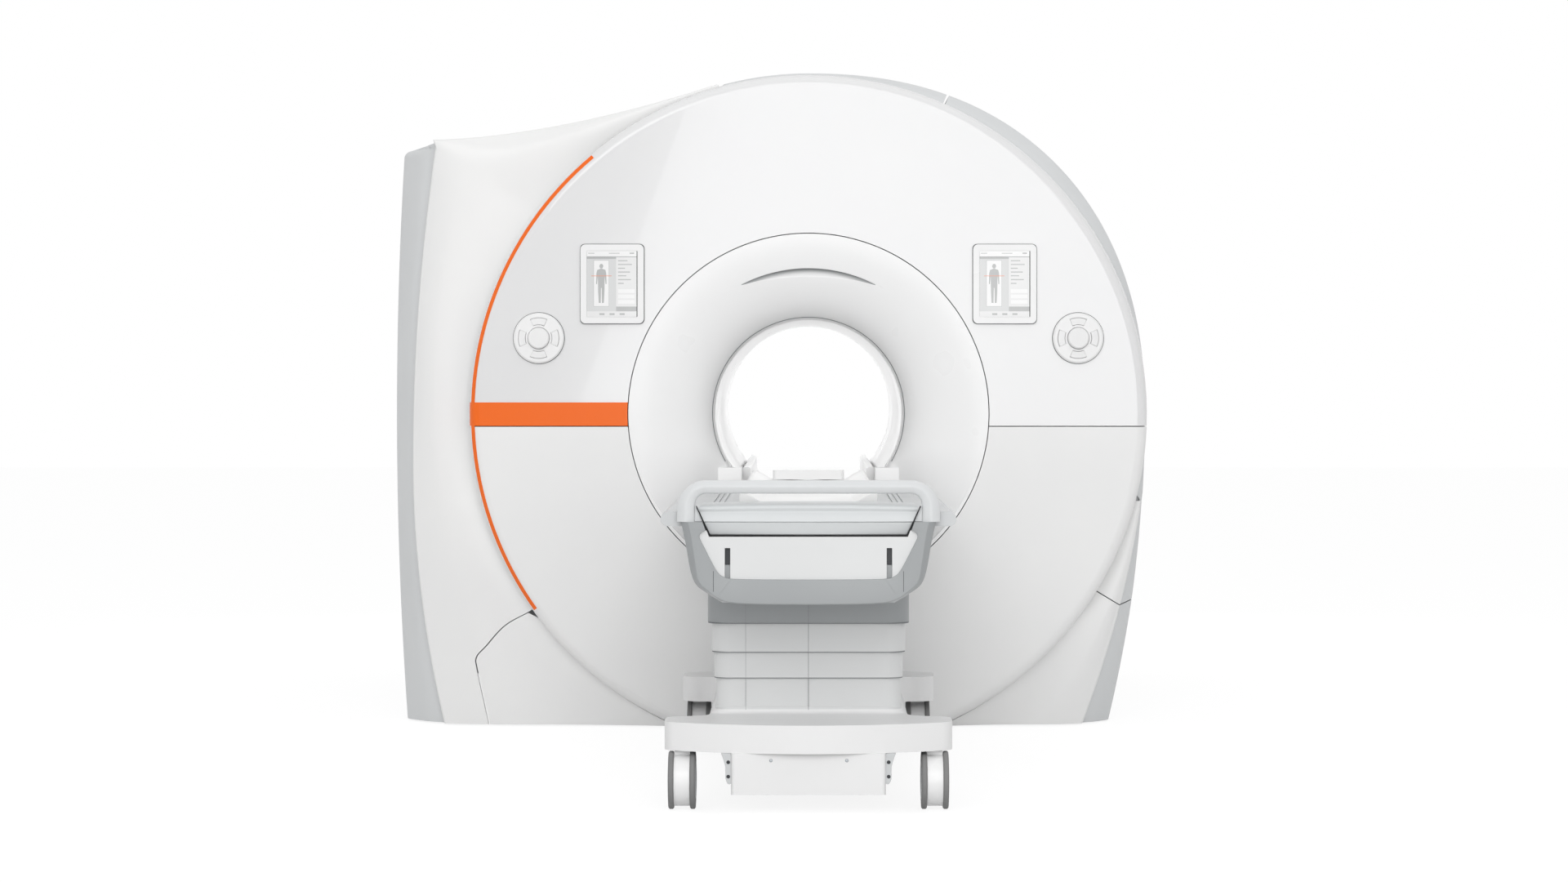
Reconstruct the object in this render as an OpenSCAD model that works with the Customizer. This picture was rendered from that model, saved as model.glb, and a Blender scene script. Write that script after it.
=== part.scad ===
// Whole-body MRI scanner with a docked patient trolley.
// Frame: +X to the right seen from the table end, +Y into the bore, +Z up.
// Origin: on the floor, straight below the isocentre. Units are millimetres.

/* [Magnet] */
// Inner diameter of the patient bore
bore_d = 600; // [596:1:604]
// Height of the bore axis above the floor
axis_z = 1000; // [995:1:1005]
// Length of the magnet over its covers
gantry_l = 2130; // [2120:1:2150]
// Diameter of the round front covers
face_d = 2156; // [2150:1:2158]
// Diameter of the seam between the funnel and the front covers
funnel_d = 1147; // [1140:1:1150]
// Depth of the funnel from the front face to the bore
funnel_depth = 200; // [190:1:210]
// Radius that rounds the edge of the front covers
rim_r = 33; // [28:1:36]
// Height of the seam between upper and lower front cover
seam_z = 960; // [950:1:965]
// Height where the funnel turns into the upright throat of the table
throat_z = 875; // [860:1:880]
// Wall of the moulded covers
cover_wall = 10; // [8:1:12]

/* [Controls] */
// Width of a display housing
display_w = 201; // [190:1:210]
// Height of a display housing
display_h = 251; // [240:1:260]
// Distance of a display from the middle plane
display_x = 623; // [615:1:630]
// Height of a display's middle
display_z = 1412; // [1400:1:1420]
// Diameter of a round control panel
control_d = 161; // [150:1:170]
// Distance of a control panel from the middle plane
control_x = 856; // [850:1:862]
// Height of a control panel's middle
control_z = 1240; // [1230:1:1245]
// Diameter of a turning knob
knob_d = 66; // [60:1:70]
// Travel of a push button
button_travel = 1.5; // [1:0.1:2]

/* [Table] */
// Height of the tabletop's middle when raised
table_z = 788; // [786:1:790]
// Half width of the tabletop
table_half_w = 182; // [178:1:184]
// Length of the tabletop
table_l = 2120; // [2100:1:2130]
// Lift travel of the table
lift_travel = 220; // [200:1:225]
// Half width of the grey end frame at its top
frame_half_w = 327; // [322:1:330]
// Thickness of the push handle's bar
handle_d = 34; // [30:1:36]
// Half width over the push handle
handle_half_w = 337; // [334:1:340]
// Height of the push handle above the end frame
handle_h = 106; // [102:1:108]
// Width of the push handle's legs
handle_leg_w = 47; // [40:1:48]

/* [Trolley] */
// Half width of the bumpers
bumper_half_w = 374; // [370:1:380]
// Height of the base cover's underside
base_low_z = 153; // [152:1:156]
// Height of the base cover's top
base_top_z = 226; // [224:1:228]
// Diameter of a castor wheel
wheel_d = 150; // [148:1:150]
// Width over a castor's two wheels
wheel_pair_w = 70; // [66:1:74]

/* [Hidden] */
$fn = 96;
bore_r = bore_d / 2;
face_r = face_d / 2;
funnel_r = funnel_d / 2;
front_y = -gantry_l / 2;
rear_d = gantry_l;
gap = 1.5;
running_gap = 0.3;
far = 4000;

// Body outline seen from the front, relative to the bore axis
skin_r = face_r + 2;
right_x = 1086;
right_bow_r = 4400;
top_h = 1096;
top_power = 2.25;
shoulder_x = -286;
corner_x = -1205;
corner_h = 878;
edge_x = -1270;
edge_mid_z = 850;
edge_bow_up_r = 6900;
edge_bow_down_r = 3540;
left_x = -1341;
left_bow_r = 14000;
left_top_z = 1851;
top_corner_r = 22;
skin_back_d = 2040;
flange_tip_d = 190;
flange_bow = 260;
rear_cap_d = 2042;

// Depths of the side covers behind the front face
ridge_d = 85;
ridge_f = 0.62;
edge_d = 118;
valley_d = 112;
valley_floor_d = 30;
grey_front_d = 148;
side_corner_d = 300;

// Funnel, bore and inside of the magnet
throat_floor_z = axis_z - funnel_r + 2 * cover_wall;
funnel_wall = 24;
band_drop = 3;
lip_r = 330;
block_x = 212.5;
block_d = 118;
block_top_z = 826;
liner_front_y = front_y + funnel_depth + cover_wall + 1;
liner_l = -2 * liner_front_y;
vessel_r = 950;
vessel_bore_r = 450;
vessel_half_l = 800;
vessel_wall = 14;
anchor_x = 560;
anchor_y = 600;
anchor_r = 9;

// Seams of the white covers
right_start_z = 720;
right_seam_rim_z = 433;
right_seam_edge_z = 384;

// Controls
button_in_r = 43;
button_out_r = 64;
button_half_angle = 24;
button_seat = 5;
button_well = button_seat + button_travel + 0.5;
control_proud = 12;
key_gap = 1;

// Table
head_y = -930;
table_low_z = table_z - 40;
foot_y = head_y - table_l;
trough_head_y = front_y - 20;
trough_foot_y = -3262;
frame_foot_y = -3312;
deck_z = 775;
trough_floor_z = 700;
frame_low_z = 537;
frame_top_z = 750;
foot_top_z = 795;
foot_low_z = 716;
foot_top_half_w = 284;
foot_low_half_w = 251;

// Lift: half widths of the shroud's stages from the outermost inwards, and the columns' places
shroud_front_y = -2970;
shroud_rear_y = -1950;
stage_half_w = [268, 257.5, 251, 245.5];
stage_wall = 3;
column_ys = [-2740, -2180];
column_w = 150;
column_plate = 12;

// Castors and docking
castor_x = 327.5;
castor_front_y = -3143;
castor_rear_y = -1660;
castor_places = [
  [-castor_x, castor_front_y], [castor_x, castor_front_y],
  [-castor_x, castor_rear_y], [castor_x, castor_rear_y]
];
castor_trail = 22;
waist_half_w = 262;
cove_r = 60;
stem_r = 12;
stem_top_z = 205;
tyre_w = 14;
base_wall = 5;
chassis_lift = 3;
bar_half_w = 40;
axle_r = 8;
pin_r = 14;
pin_x = 90;
pin_z = 190;
dock_y = -1360;

// Small helpers

function lerp(a, b, t) = a + (b - a) * t;
function unit(v) = v / norm(v);
function clamp(v, low, high) = min(max(v, low), high);
function reversed(list) = [for (i = [len(list) - 1 : -1 : 0]) list[i]];
function polar(r, angle) = [r * cos(angle), r * sin(angle)];

// Direction along an open path at point i
function heading(path, i) = unit(path[min(i + 1, len(path) - 1)] - path[max(i - 1, 0)]);

// Path moved to its left by a distance
function beside(path, distance) = [
  for (i = [0 : len(path) - 1])
    let (h = heading(path, i)) path[i] + distance * [-h.y, h.x]
];

// Closed outline of a wall along an open path
function walled(path, wall) = concat(path, reversed(beside(path, wall)));

// Solid through a row of closed sections with the same number of points
module loft(sections) {
  sides = len(sections[0]);
  last = (len(sections) - 1) * sides;
  walls = [
    for (i = [0 : len(sections) - 2], j = [0 : sides - 1])
      let (a = i * sides + j, b = i * sides + (j + 1) % sides)
        each [[a, b, b + sides], [a, b + sides, a + sides]]
  ];
  caps = [[for (j = [sides - 1 : -1 : 0]) j], [for (j = [0 : sides - 1]) last + j]];
  polyhedron([for (s = sections) each s], concat(walls, caps));
}

// Inner side of a skin: its front edges lie straight behind the outer ones
function skin_inner(path, wall) =
  let (inner = beside(path, wall), last = len(path) - 1)
    [for (i = [0 : last]) (i == 0 || i == last) && heading(path, i).y < 0.7 ? path[i] + [0, wall] : inner[i]];

// Section of a skin: its path runs from a front point to an outer point, then back along Y
function skin_section(from, to, path, wall) =
  let (way = unit(to - from))
    [
      for (p = concat(path, reversed(skin_inner(path, wall))))
        [from.x + way.x * p.x, front_y + p.y, axis_z + from.y + way.y * p.x]
    ];

// Turns shapes made round Z into shapes round the bore, with depth along +Y
module about_bore() {
  translate([0, front_y, axis_z]) rotate([-90, 0, 0]) children();
}

module above(z) {
  intersection() {
    children();
    translate([-far / 2, -far, z]) cube([far, 2 * far, far]);
  }
}

module below(z) {
  intersection() {
    children();
    translate([-far / 2, -far, z - far]) cube([far, 2 * far, far]);
  }
}

// Extrudes a front view along +Y from a given place
module along_y(y, length) {
  translate([0, y + length, 0]) rotate([90, 0, 0]) linear_extrude(length) children();
}

// Rectangle with round corners, true arcs
module rounded(w, h, r) {
  square([w - 2 * r, h], center = true);
  square([w, h - 2 * r], center = true);
  for (x = [-1, 1], y = [-1, 1])
    translate([x * (w / 2 - r), y * (h / 2 - r)]) circle(r);
}

module mirrored() {
  children();
  mirror([1, 0, 0]) children();
}

// Outline of the body, relative to the bore axis

function right_side(z) = [right_x - pow(axis_z - z, 2) / (2 * right_bow_r), z - axis_z];
function upper_right(phi) =
  [right_x * pow(cos(phi), 2 / top_power), top_h * pow(sin(phi), 2 / top_power)];
function top_left(x) = [x, top_h * sqrt(1 - pow(x / right_x, 2))];
function shoulder(x) =
  [x, lerp(corner_h, top_left(shoulder_x).y, pow((x - corner_x) / (shoulder_x - corner_x), 1.65))];
function left_side(z) = [left_x + pow(z - axis_z, 2) / (2 * left_bow_r), z - axis_z];
function white_edge(z) =
  [edge_x + pow(z - edge_mid_z, 2) / (2 * (z > edge_mid_z ? edge_bow_up_r : edge_bow_down_r)), z - axis_z];
function right_split(z) = right_side(z) - [95 * pow(clamp((950 - z) / 950, 0, 1), 1.55), 0];
function rim(angle) = polar(skin_r, angle);
function rim_at(z) = [sqrt(pow(skin_r, 2) - pow(z - axis_z, 2)), z - axis_z];

body_outline = concat(
  [for (z = [4, 200, 400, 600, 800]) right_side(z)],
  [for (phi = [0 : 5 : 85]) upper_right(phi)],
  [for (x = [0, -100, -200]) top_left(x)],
  [for (x = [shoulder_x : -(shoulder_x - corner_x) / 10 : corner_x]) shoulder(x)],
  [[corner_x - 70, left_top_z - axis_z - 6]],
  [for (z = [1800, 1500, 1200, 900, 600, 300, 4]) left_side(z)]
);

// Front covers and funnel

// Cross-section of the front covers: radius along X, depth along Y
module cover_section() {
  translate([funnel_r + gap, 0]) square([face_r - rim_r - funnel_r - gap, cover_wall]);
  translate([funnel_r + gap, 0]) square([cover_wall, 40]);
  translate([face_r - cover_wall, rim_r]) square([cover_wall, 92]);
  translate([face_r - rim_r, rim_r]) rim_band(rim_r, rim_r - cover_wall);
}

// Quarter of a ring that faces outwards and forwards
module rim_band(outer, inner) {
  difference() {
    intersection() {
      circle(outer);
      translate([0, -outer]) square(outer);
    }
    circle(inner);
  }
}

module front_covers() {
  about_bore() rotate_extrude($fn = 360) cover_section();
}

module front_upper_cover() {
  color("gainsboro") above(seam_z + gap) front_covers();
}

module front_lower_cover() {
  color("white") above(8) below(seam_z - gap) front_covers();
}

// Point on the funnel's trumpet, from the front seam (0) to the bore (90): radius and depth
function trumpet(t) =
  [funnel_r - gap - (funnel_r - gap - bore_r) * sin(t), funnel_depth * (1 - cos(t))];

// Trumpet cut at throat height, seen from above
function throat_side(t) = [sqrt(pow(trumpet(t).x, 2) - pow(axis_z - throat_z, 2)), trumpet(t).y];

module funnel_trumpet() {
  path = [for (t = [0 : 6 : 90]) trumpet(t)];
  about_bore() rotate_extrude() polygon(walled(reversed(path), funnel_wall));
}

// Upright back wall of the throat, where the table's head end moves up and down
module throat_wall() {
  side = [for (t = [0 : 6 : 84]) throat_side(t)];
  back = [throat_side(90)];
  path = concat([for (p = side) [-p.x, p.y]], [[-back[0].x, back[0].y]], back, reversed(side));
  translate([0, front_y, throat_floor_z]) linear_extrude(throat_z - throat_floor_z)
    polygon(walled(path, cover_wall));
}

module front_funnel() {
  brow_r = 463;
  brow_d = 36;
  brow_tilt = -20.7;
  color("white") difference() {
    above(block_top_z) funnel_trumpet();
    // Below the throat's top only the steep lip runs on, down to the shoulder blocks
    difference() {
      translate([-far / 2, -far, throat_z - far]) cube([far, 2 * far, far]);
      about_bore() translate([0, 0, -1]) cylinder(h = far, r = lip_r);
    }
    // Brow recess above the bore: a tilted disc that cuts deepest in the middle
    about_bore() translate([0, -brow_r, brow_d]) rotate([brow_tilt, 0, 0]) translate([0, brow_r, -100])
      cylinder(h = 100, r = brow_r);
  }
}

// Upright walls below the funnel, so that the table's head end can move up and down
module table_throat() {
  color("white") {
    intersection() {
      difference() {
        throat_wall();
        about_bore() cylinder(h = far, r = bore_r);
        above(block_top_z - gap) about_bore() cylinder(h = far, r = lip_r + gap);
      }
      about_bore() cylinder(h = far, r = funnel_r - gap);
    }
    below(throat_z - band_drop) above(throat_floor_z - 6) about_bore() difference() {
      cylinder(h = funnel_depth + cover_wall, r = funnel_r - gap);
      translate([0, 0, -1]) cylinder(h = far, r = funnel_r - gap - cover_wall);
    }
  }
}

// Shoulder blocks in the throat that flank the tabletop
module shoulder_blocks() {
  wall_side = [for (t = [66 : 6 : 90]) throat_side(t) - [gap, 0]];
  plan = concat([[block_x, funnel_depth], [block_x, block_d]], wall_side);
  color("white") mirrored() intersection() {
    translate([0, front_y, throat_floor_z]) linear_extrude(block_top_z - throat_floor_z) polygon(plan);
    about_bore() cylinder(h = far, r = funnel_r - cover_wall - 2 * gap);
  }
}

module bore_liner() {
  color("whitesmoke") translate([0, liner_front_y, axis_z]) rotate([-90, 0, 0]) difference() {
    cylinder(h = liner_l, r = bore_r + 12);
    translate([0, 0, -1]) cylinder(h = liner_l + 2, r = bore_r);
  }
}

// Two rails that flank the tabletop in the bore, each in five lengths
module bore_rails() {
  rail_in = 188;
  rail_out = 213;
  rail_top = 825;
  lengths = 5;
  step = liner_l / lengths;
  joint = 4;
  color("whitesmoke") intersection() {
    mirrored() for (i = [0 : lengths - 1])
      along_y(liner_front_y + i * step + joint / 2, step - joint)
        polygon([
          [rail_in - 4, 740], [rail_in, 778], [rail_in, rail_top - 5], [rail_in + 5, rail_top],
          [rail_out - 4, rail_top], [rail_out, rail_top - 4], [rail_out, 740]
        ]);
    about_bore() cylinder(h = far, r = bore_r - 0.2);
  }
}

// Orange film: a band above the seam on the left, and a strip along the left rim
module orange_accent() {
  film = 1;
  band_top_z = 1036;
  strip_in = 1061;
  strip_out = 1073;
  strip_from = 130;
  strip_to = 215.6;
  color("coral") intersection() {
    about_bore() rotate_extrude() {
      translate([funnel_r + gap, -film]) square([face_r - rim_r - funnel_r - gap, film]);
      translate([face_r - rim_r, rim_r]) rim_band(rim_r + film, rim_r);
    }
    union() {
      translate([-face_r, front_y - 50, seam_z + gap]) cube([face_r, 100, band_top_z - seam_z - gap]);
      about_bore() rotate([0, 0, -strip_to]) rotate_extrude(angle = strip_to - strip_from)
        translate([strip_in, -50]) square([strip_out - strip_in, 100]);
    }
  }
}

// White side covers

// Depth of a white cover between the rim (0) and its outer edge (1); flatter where the cover is narrow
function white_depth(f, rim_depth, length) =
  let (swing = min(1, length / 100))
    f < ridge_f
      ? lerp(ridge_d, rim_depth, swing * pow(1 - f / ridge_f, 2))
      : lerp(ridge_d, edge_d, swing * pow((f - ridge_f) / (1 - ridge_f), 2));

// Path of a white cover over part of its width, with a rolled outer edge where it reaches it
function white_path(length, from, to, rim_depth, back_d) =
  let (roll = to < 1 ? 0 : min(9, 0.2 * length), last = to < 1 ? to : 1 - roll / length, steps = 9)
    concat(
      [
        for (i = [0 : steps])
          let (f = lerp(from, last, i / steps)) [f * length, white_depth(f, rim_depth, length)]
      ],
      to < 1 ? [] : [
        [length - roll / 3, edge_d + roll / 3], [length, edge_d + 4 * roll / 3], [length, back_d]
      ]
    );

function white_section(from, to, f0, f1, rim_depth, back_d) =
  let (length = norm(to - from))
    skin_section(from, to, white_path(length, f0, f1, rim_depth, back_d), clamp(0.1 * length, 2, cover_wall));

// Left cover, downwards from its top corner: share of the way, rim angle and outer point
left_top_angle = atan2(corner_h, corner_x);
left_floor_angle = 180 + asin((axis_z - 5) / skin_r);
function left_rim(s) = rim(lerp(left_top_angle, left_floor_angle, s));
function left_edge(s) = white_edge(lerp(axis_z + corner_h, 5, s));
function left_valley(s) = lerp(valley_d, valley_floor_d, pow(s, 3));

// Seam of the left access cover: width share along the way down
access_seam = [[0.693, 0], [0.774, 0.405], [0.855, 0.68], [0.875, 0.735], [1, 0.803]];
seam_share = 0.0035;
// Sections that both left covers share beside their seam
seam_rows = [0.714, 0.75, 0.774, 0.802, 0.828, 0.855, 0.875, 0.9, 0.925, 0.95, 0.975, 1];

// Depth of the white cover's rear edge on top, from its tip (0) to its corner (1)
function flange_back(s) = flange_tip_d + flange_bow * sin(180 * s) - 20 * s;

module left_side_cover() {
  tip_x = shoulder_x - 4;
  tail = [
    for (i = [0 : 13])
      let (p = shoulder(lerp(tip_x, corner_x, i / 13)))
        white_section(skin_r * unit(p), p, 0, 1, valley_d, flange_back(i / 13))
  ];
  down = [
    for (s = concat([for (i = [0 : 19]) i / 28], seam_rows))
      let (f0 = s > access_seam[0][0] ? lookup(s, access_seam) + seam_share : 0)
        white_section(left_rim(s), left_edge(s), f0, 1, left_valley(s), grey_front_d - 2)
  ];
  color("white") mirrored_loft(concat(tail, down));
}

module left_access_cover() {
  color("white") mirrored_loft([
    for (s = seam_rows)
      white_section(left_rim(s), left_edge(s), 0, lookup(s, access_seam) - seam_share, left_valley(s), 0)
  ]);
}

// Right white covers, from the point where they leave the rim down to the seam and on to the floor
function right_white(s, rim_from, rim_to, edge_from, edge_to) =
  let (p = rim_at(lerp(rim_from, rim_to, s)), q = right_split(lerp(edge_from, edge_to, s)))
    let (rim_depth = lerp(valley_d, valley_floor_d, pow(-p.y / axis_z, 3)))
      white_section(p, q, 0, 1, rim_depth, grey_front_d - 2);

module mirrored_loft(sections) {
  loft([for (s = sections) reversed(s)]);
}

module right_lower_cover() {
  color("white") loft([
    for (i = [0 : 10])
      right_white(i / 10, right_start_z, right_seam_rim_z + gap, right_start_z, right_seam_edge_z + gap)
  ]);
}

module right_access_cover() {
  color("white") loft([
    for (i = [0 : 10]) right_white(i / 10, right_seam_rim_z - gap, 5, right_seam_edge_z - gap, 5)
  ]);
}

// Grey panels

// Path of a grey panel: bevelled shoulder from its front edge to the body outline, then back along Y
function grey_path(length, front, depth) = [
  [0, front], [0.4 * length, front + 0.25 * depth], [0.8 * length, front + 0.66 * depth],
  [0.96 * length, front + 0.88 * depth], [length, front + depth], [length, skin_back_d]
];

function grey_section(from, to, front, depth) =
  let (length = norm(to - from), wall = clamp(0.4 * length, 3, 9))
    skin_section(from, to, grey_path(length, front, depth), wall);

// Outer edge of the left panel, rounded off at its top corner
function left_corner(z) =
  let (rise = max(0, z - left_top_z + top_corner_r) / top_corner_r)
    left_side(z) + [top_corner_r * (1 - sqrt(1 - rise * rise)), 0];

module left_side_panel() {
  corner_rows = [for (a = [90, 60, 35, 15]) left_top_z - top_corner_r * (1 - sin(a))];
  rows = concat(corner_rows, [for (i = [0 : 15]) lerp(left_top_z - top_corner_r, 5, i / 15)]);
  color("lightgray") mirrored_loft([
    for (z = rows)
      grey_section(white_edge(z) + [6, 0], left_corner(z), grey_front_d, side_corner_d - grey_front_d)
  ]);
}

// Section of the top cover that only runs back along Y from a given depth
function lid_section(p, depth) =
  let (dip = [for (k = [0 : 4]) [40 - 8 * pow(1 - k / 4, 2), depth + 30 * k]])
    skin_section(p - [0, 40], p, concat(dip, [[40, skin_back_d]]), 8);

function top_grey(p) = grey_section(skin_r * unit(p), p, 128, 60);

module top_cover() {
  corner = left_corner(left_top_z) + [12.5, 9];
  first = [
    lid_section(corner, side_corner_d + 4),
    lid_section([corner_x - 14, corner_h - 6], grey_front_d + 16)
  ];
  behind = [
    for (i = [0 : 13])
      let (s = i / 13) lid_section(shoulder(lerp(corner_x, shoulder_x - 4, s)), flange_back(1 - s) + 4)
  ];
  over = [for (x = [shoulder_x + 12, -205, -135, -65]) top_grey(top_left(x))];
  beyond = [for (phi = [90, 85, 80, 75, 71, 68.4]) top_grey(upper_right(phi))];
  color("lightgray") loft(concat(first, behind, over, beyond));
}

module right_side_panel() {
  curve = [for (i = [0 : 16]) top_grey(upper_right(lerp(68, 6, i / 16)))];
  low_z = right_seam_edge_z + 2;
  upper = [
    for (i = [0 : 5])
      let (z = lerp(axis_z, right_start_z + 25, i / 5)) grey_section(rim_at(z), right_side(z), 128, 60)
  ];
  lower = [
    for (i = [0 : 7])
      let (s = i / 7, z = lerp(right_start_z + 3, low_z, s), q = right_side(z + 15 * s))
        grey_section(right_split(z), q, grey_front_d, 60)
  ];
  color("lightgray") loft(concat(curve, upper, lower));
}

module right_foot_panel() {
  color("lightgray") mirrored_loft([
    for (i = [0 : 8])
      let (s = i / 8, z = lerp(5, right_seam_edge_z - 2, s), q = right_side(z + 15 * s))
        grey_section(right_split(z), q, grey_front_d, lerp(110, 60, s))
  ]);
}

// Rear cover in one piece with the rear funnel
module rear_cover() {
  lip = 14;
  color("whitesmoke") {
    difference() {
      along_y(front_y + rear_cap_d, rear_d - rear_cap_d) translate([0, axis_z]) polygon(body_outline);
      along_y(front_y + rear_cap_d - 1, rear_d - rear_cap_d + 1 - cover_wall)
        translate([0, axis_z]) polygon(beside(body_outline, lip));
      about_bore() cylinder(h = far, r = funnel_r - 2 * gap);
    }
    path = [for (t = [0 : 6 : 90]) [trumpet(t).x, rear_d - trumpet(t).y]];
    about_bore() rotate_extrude() polygon(walled(reversed(path), -cover_wall));
  }
}

// Displays and control panels

module displays() {
  proud = 13;
  lip = 20;
  color("white") mirrored() translate([display_x, front_y - proud, display_z]) rotate([-90, 0, 0])
    difference() {
      linear_extrude(proud) rounded(display_w, display_h, 16);
      translate([0, 0, -1]) linear_extrude(5) rounded(display_w - 2 * lip, display_h - 2 * lip, 3);
    }
}

module screens() {
  lip = 20.4;
  color("dimgray") mirrored() translate([display_x, front_y - 13 + 0.6, display_z]) rotate([-90, 0, 0])
    linear_extrude(3.4) rounded(display_w - 2 * lip, display_h - 2 * lip, 3);
}

// Curved key between two radii, seen from the front, with room around it
module key_outline(grow) {
  intersection() {
    difference() {
      circle(button_out_r + grow);
      circle(button_in_r - grow);
    }
    reach = 2 * button_out_r;
    half = reach * tan(button_half_angle) + grow / cos(button_half_angle);
    polygon([[0, 0], [reach, -half], [reach, half]]);
  }
}

// Places a shape on a control panel, with depth along +Y and the panel's face at 0
module on_control(side) {
  translate([side * control_x, front_y - control_proud, control_z]) rotate([-90, 0, 0]) children();
}

module control_ring(side) {
  color("white") on_control(side) difference() {
    union() {
      translate([0, 0, 4]) cylinder(h = control_proud - 4, r = control_d / 2);
      cylinder(h = 4, r1 = control_d / 2 - 5, r2 = control_d / 2);
    }
    for (a = [0 : 90 : 270]) rotate(a) translate([0, 0, -1])
      linear_extrude(button_well + 1) key_outline(key_gap);
    translate([0, 0, -1]) cylinder(h = 6, r = knob_d / 2 + 2);
    translate([0, 0, -1]) cylinder(h = far, r = 6.05);
  }
}

module knob(side) {
  grip_h = 16;
  color("white") on_control(side) {
    translate([0, 0, -grip_h]) cylinder(h = 3, r1 = knob_d / 2 - 4, r2 = knob_d / 2);
    translate([0, 0, 3 - grip_h]) cylinder(h = grip_h, r = knob_d / 2);
    translate([0, 0, 3]) cylinder(h = 8, r = 6);
  }
}

module button(side, angle) {
  proud = 2;
  color("whitesmoke") on_control(side) rotate(-angle) translate([0, 0, -proud])
    linear_extrude(button_seat + proud) key_outline(0);
}

// Inside of the magnet

module ring_body(r_in, r_out, y0, y1) {
  translate([0, y0, axis_z]) rotate([-90, 0, 0]) difference() {
    cylinder(h = y1 - y0, r = r_out);
    translate([0, 0, -1]) cylinder(h = y1 - y0 + 2, r = r_in);
  }
}

// Vacuum vessel with its service turret
module cryostat() {
  turret_r = 105;
  turret_top = 1045;
  color("silver") difference() {
    union() {
      ring_body(vessel_bore_r, vessel_r, -vessel_half_l, vessel_half_l);
      translate([0, 330, axis_z + 900]) cylinder(h = turret_top - 900, r = turret_r);
      translate([0, 330, axis_z + turret_top - 20]) cylinder(h = 20, r = turret_r + 18);
    }
    inner_half_l = vessel_half_l - vessel_wall;
    ring_body(vessel_bore_r + vessel_wall, vessel_r - vessel_wall, -inner_half_l, inner_half_l);
  }
}

// Main windings on their former
module magnet_windings() {
  former_r = 500;
  half_l = vessel_half_l - vessel_wall;
  color("peru") {
    ring_body(former_r - 12, former_r, -half_l, half_l);
    mirror_y() {
      ring_body(former_r, former_r + 60, 70, 190);
      ring_body(former_r, former_r + 80, 320, 450);
      ring_body(former_r, former_r + 120, 590, 770);
    }
  }
}

module mirror_y() {
  children();
  mirror([0, 1, 0]) children();
}

module gradient_coil() {
  color("darkkhaki") ring_body(338, vessel_bore_r - 0.5, -700, 700);
}

// Skids with foot plates; the middle cross beam carries the origin on its underside
module magnet_base() {
  color("slategray") difference() {
    union() {
      mirrored() translate([390, -700, 0]) cube([240, 1400, 20]);
      mirrored() for (y = [-500, 0, 500]) translate([400, y - 60, 0]) cube([110, 120, 240]);
      for (y = [-500, 0, 500]) translate([-400, y - 60, 0]) cube([800, 120, 36]);
    }
    about_bore() cylinder(h = far, r = vessel_r + 0.3, $fn = 360);
    for (x = [-anchor_x, anchor_x], y = [-anchor_y, anchor_y])
      translate([x, y, -1]) cylinder(h = 30, r = anchor_r);
  }
}

// Docking station in front of the lower cover, with two guide pins
module docking_station() {
  half_w = 140;
  body_l = front_y - dock_y;
  color("lightgray") {
    difference() {
      translate([-half_w, dock_y, 8]) cube([2 * half_w, body_l, 292]);
      translate([-half_w - 1, dock_y - 1, 245]) rotate([30, 0, 0]) cube([2 * half_w + 2, 200, 200]);
    }
    for (x = [-pin_x, pin_x]) translate([x, dock_y, pin_z]) rotate([90, 0, 0]) {
      cylinder(h = 70, r = pin_r);
      translate([0, 0, 70]) cylinder(h = 20, r1 = pin_r, r2 = 6);
    }
  }
}

// Trolley

// Plan of a bumper: its outer edge is bowed and runs smoothly into the corner circles
module bumper_plan(inset) {
  half_l = 131;
  bow_r = 720;
  corner = 50;
  corner_x = bumper_half_w - corner;
  lift = sqrt(pow(bow_r - corner, 2) - pow(corner_x, 2));
  outer_y = bow_r - half_l - lift;
  inner_y = half_l - corner;
  intersection() {
    translate([0, bow_r - half_l]) circle(bow_r - inset);
    translate([0, bow_r - half_l]) polygon([[0, 0], 2 * [-corner_x, -lift], 2 * [corner_x, -lift]]);
  }
  for (x = [-corner_x, corner_x], y = [outer_y, inner_y])
    translate([x, y]) circle(corner - inset);
  translate([inset - bumper_half_w, outer_y]) square([2 * (bumper_half_w - inset), inner_y - outer_y]);
  translate([-corner_x, outer_y]) square([2 * corner_x, half_l - inset - outer_y]);
  // Coves that lead from the inner edge to the waist
  for (x = [0, 1]) mirror([x, 0]) translate([waist_half_w - inset, half_l - inset]) difference() {
    square(cove_r + inset);
    translate([cove_r + inset, cove_r + inset]) circle(cove_r + inset);
  }
}

// Plan of the base: a bumper at either end and a waist between them
module base_plan(inset) {
  translate([0, castor_front_y]) bumper_plan(inset);
  translate([0, castor_rear_y]) mirror([0, 1]) bumper_plan(inset);
  translate([inset - waist_half_w, castor_front_y])
    square([2 * (waist_half_w - inset), castor_rear_y - castor_front_y]);
}

module base_cover() {
  color("whitesmoke") difference() {
    translate([0, 0, base_low_z]) linear_extrude(base_top_z - base_low_z) base_plan(0);
    translate([0, 0, base_low_z - 1]) linear_extrude(base_top_z - base_low_z + 1 - base_wall)
      base_plan(base_wall);
    translate([0, 0, base_low_z]) linear_extrude(far) shroud_plan(3, 0.5);
    translate([-150, castor_rear_y, 100]) cube([300, 300, base_top_z - base_wall - 100]);
  }
}

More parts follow.
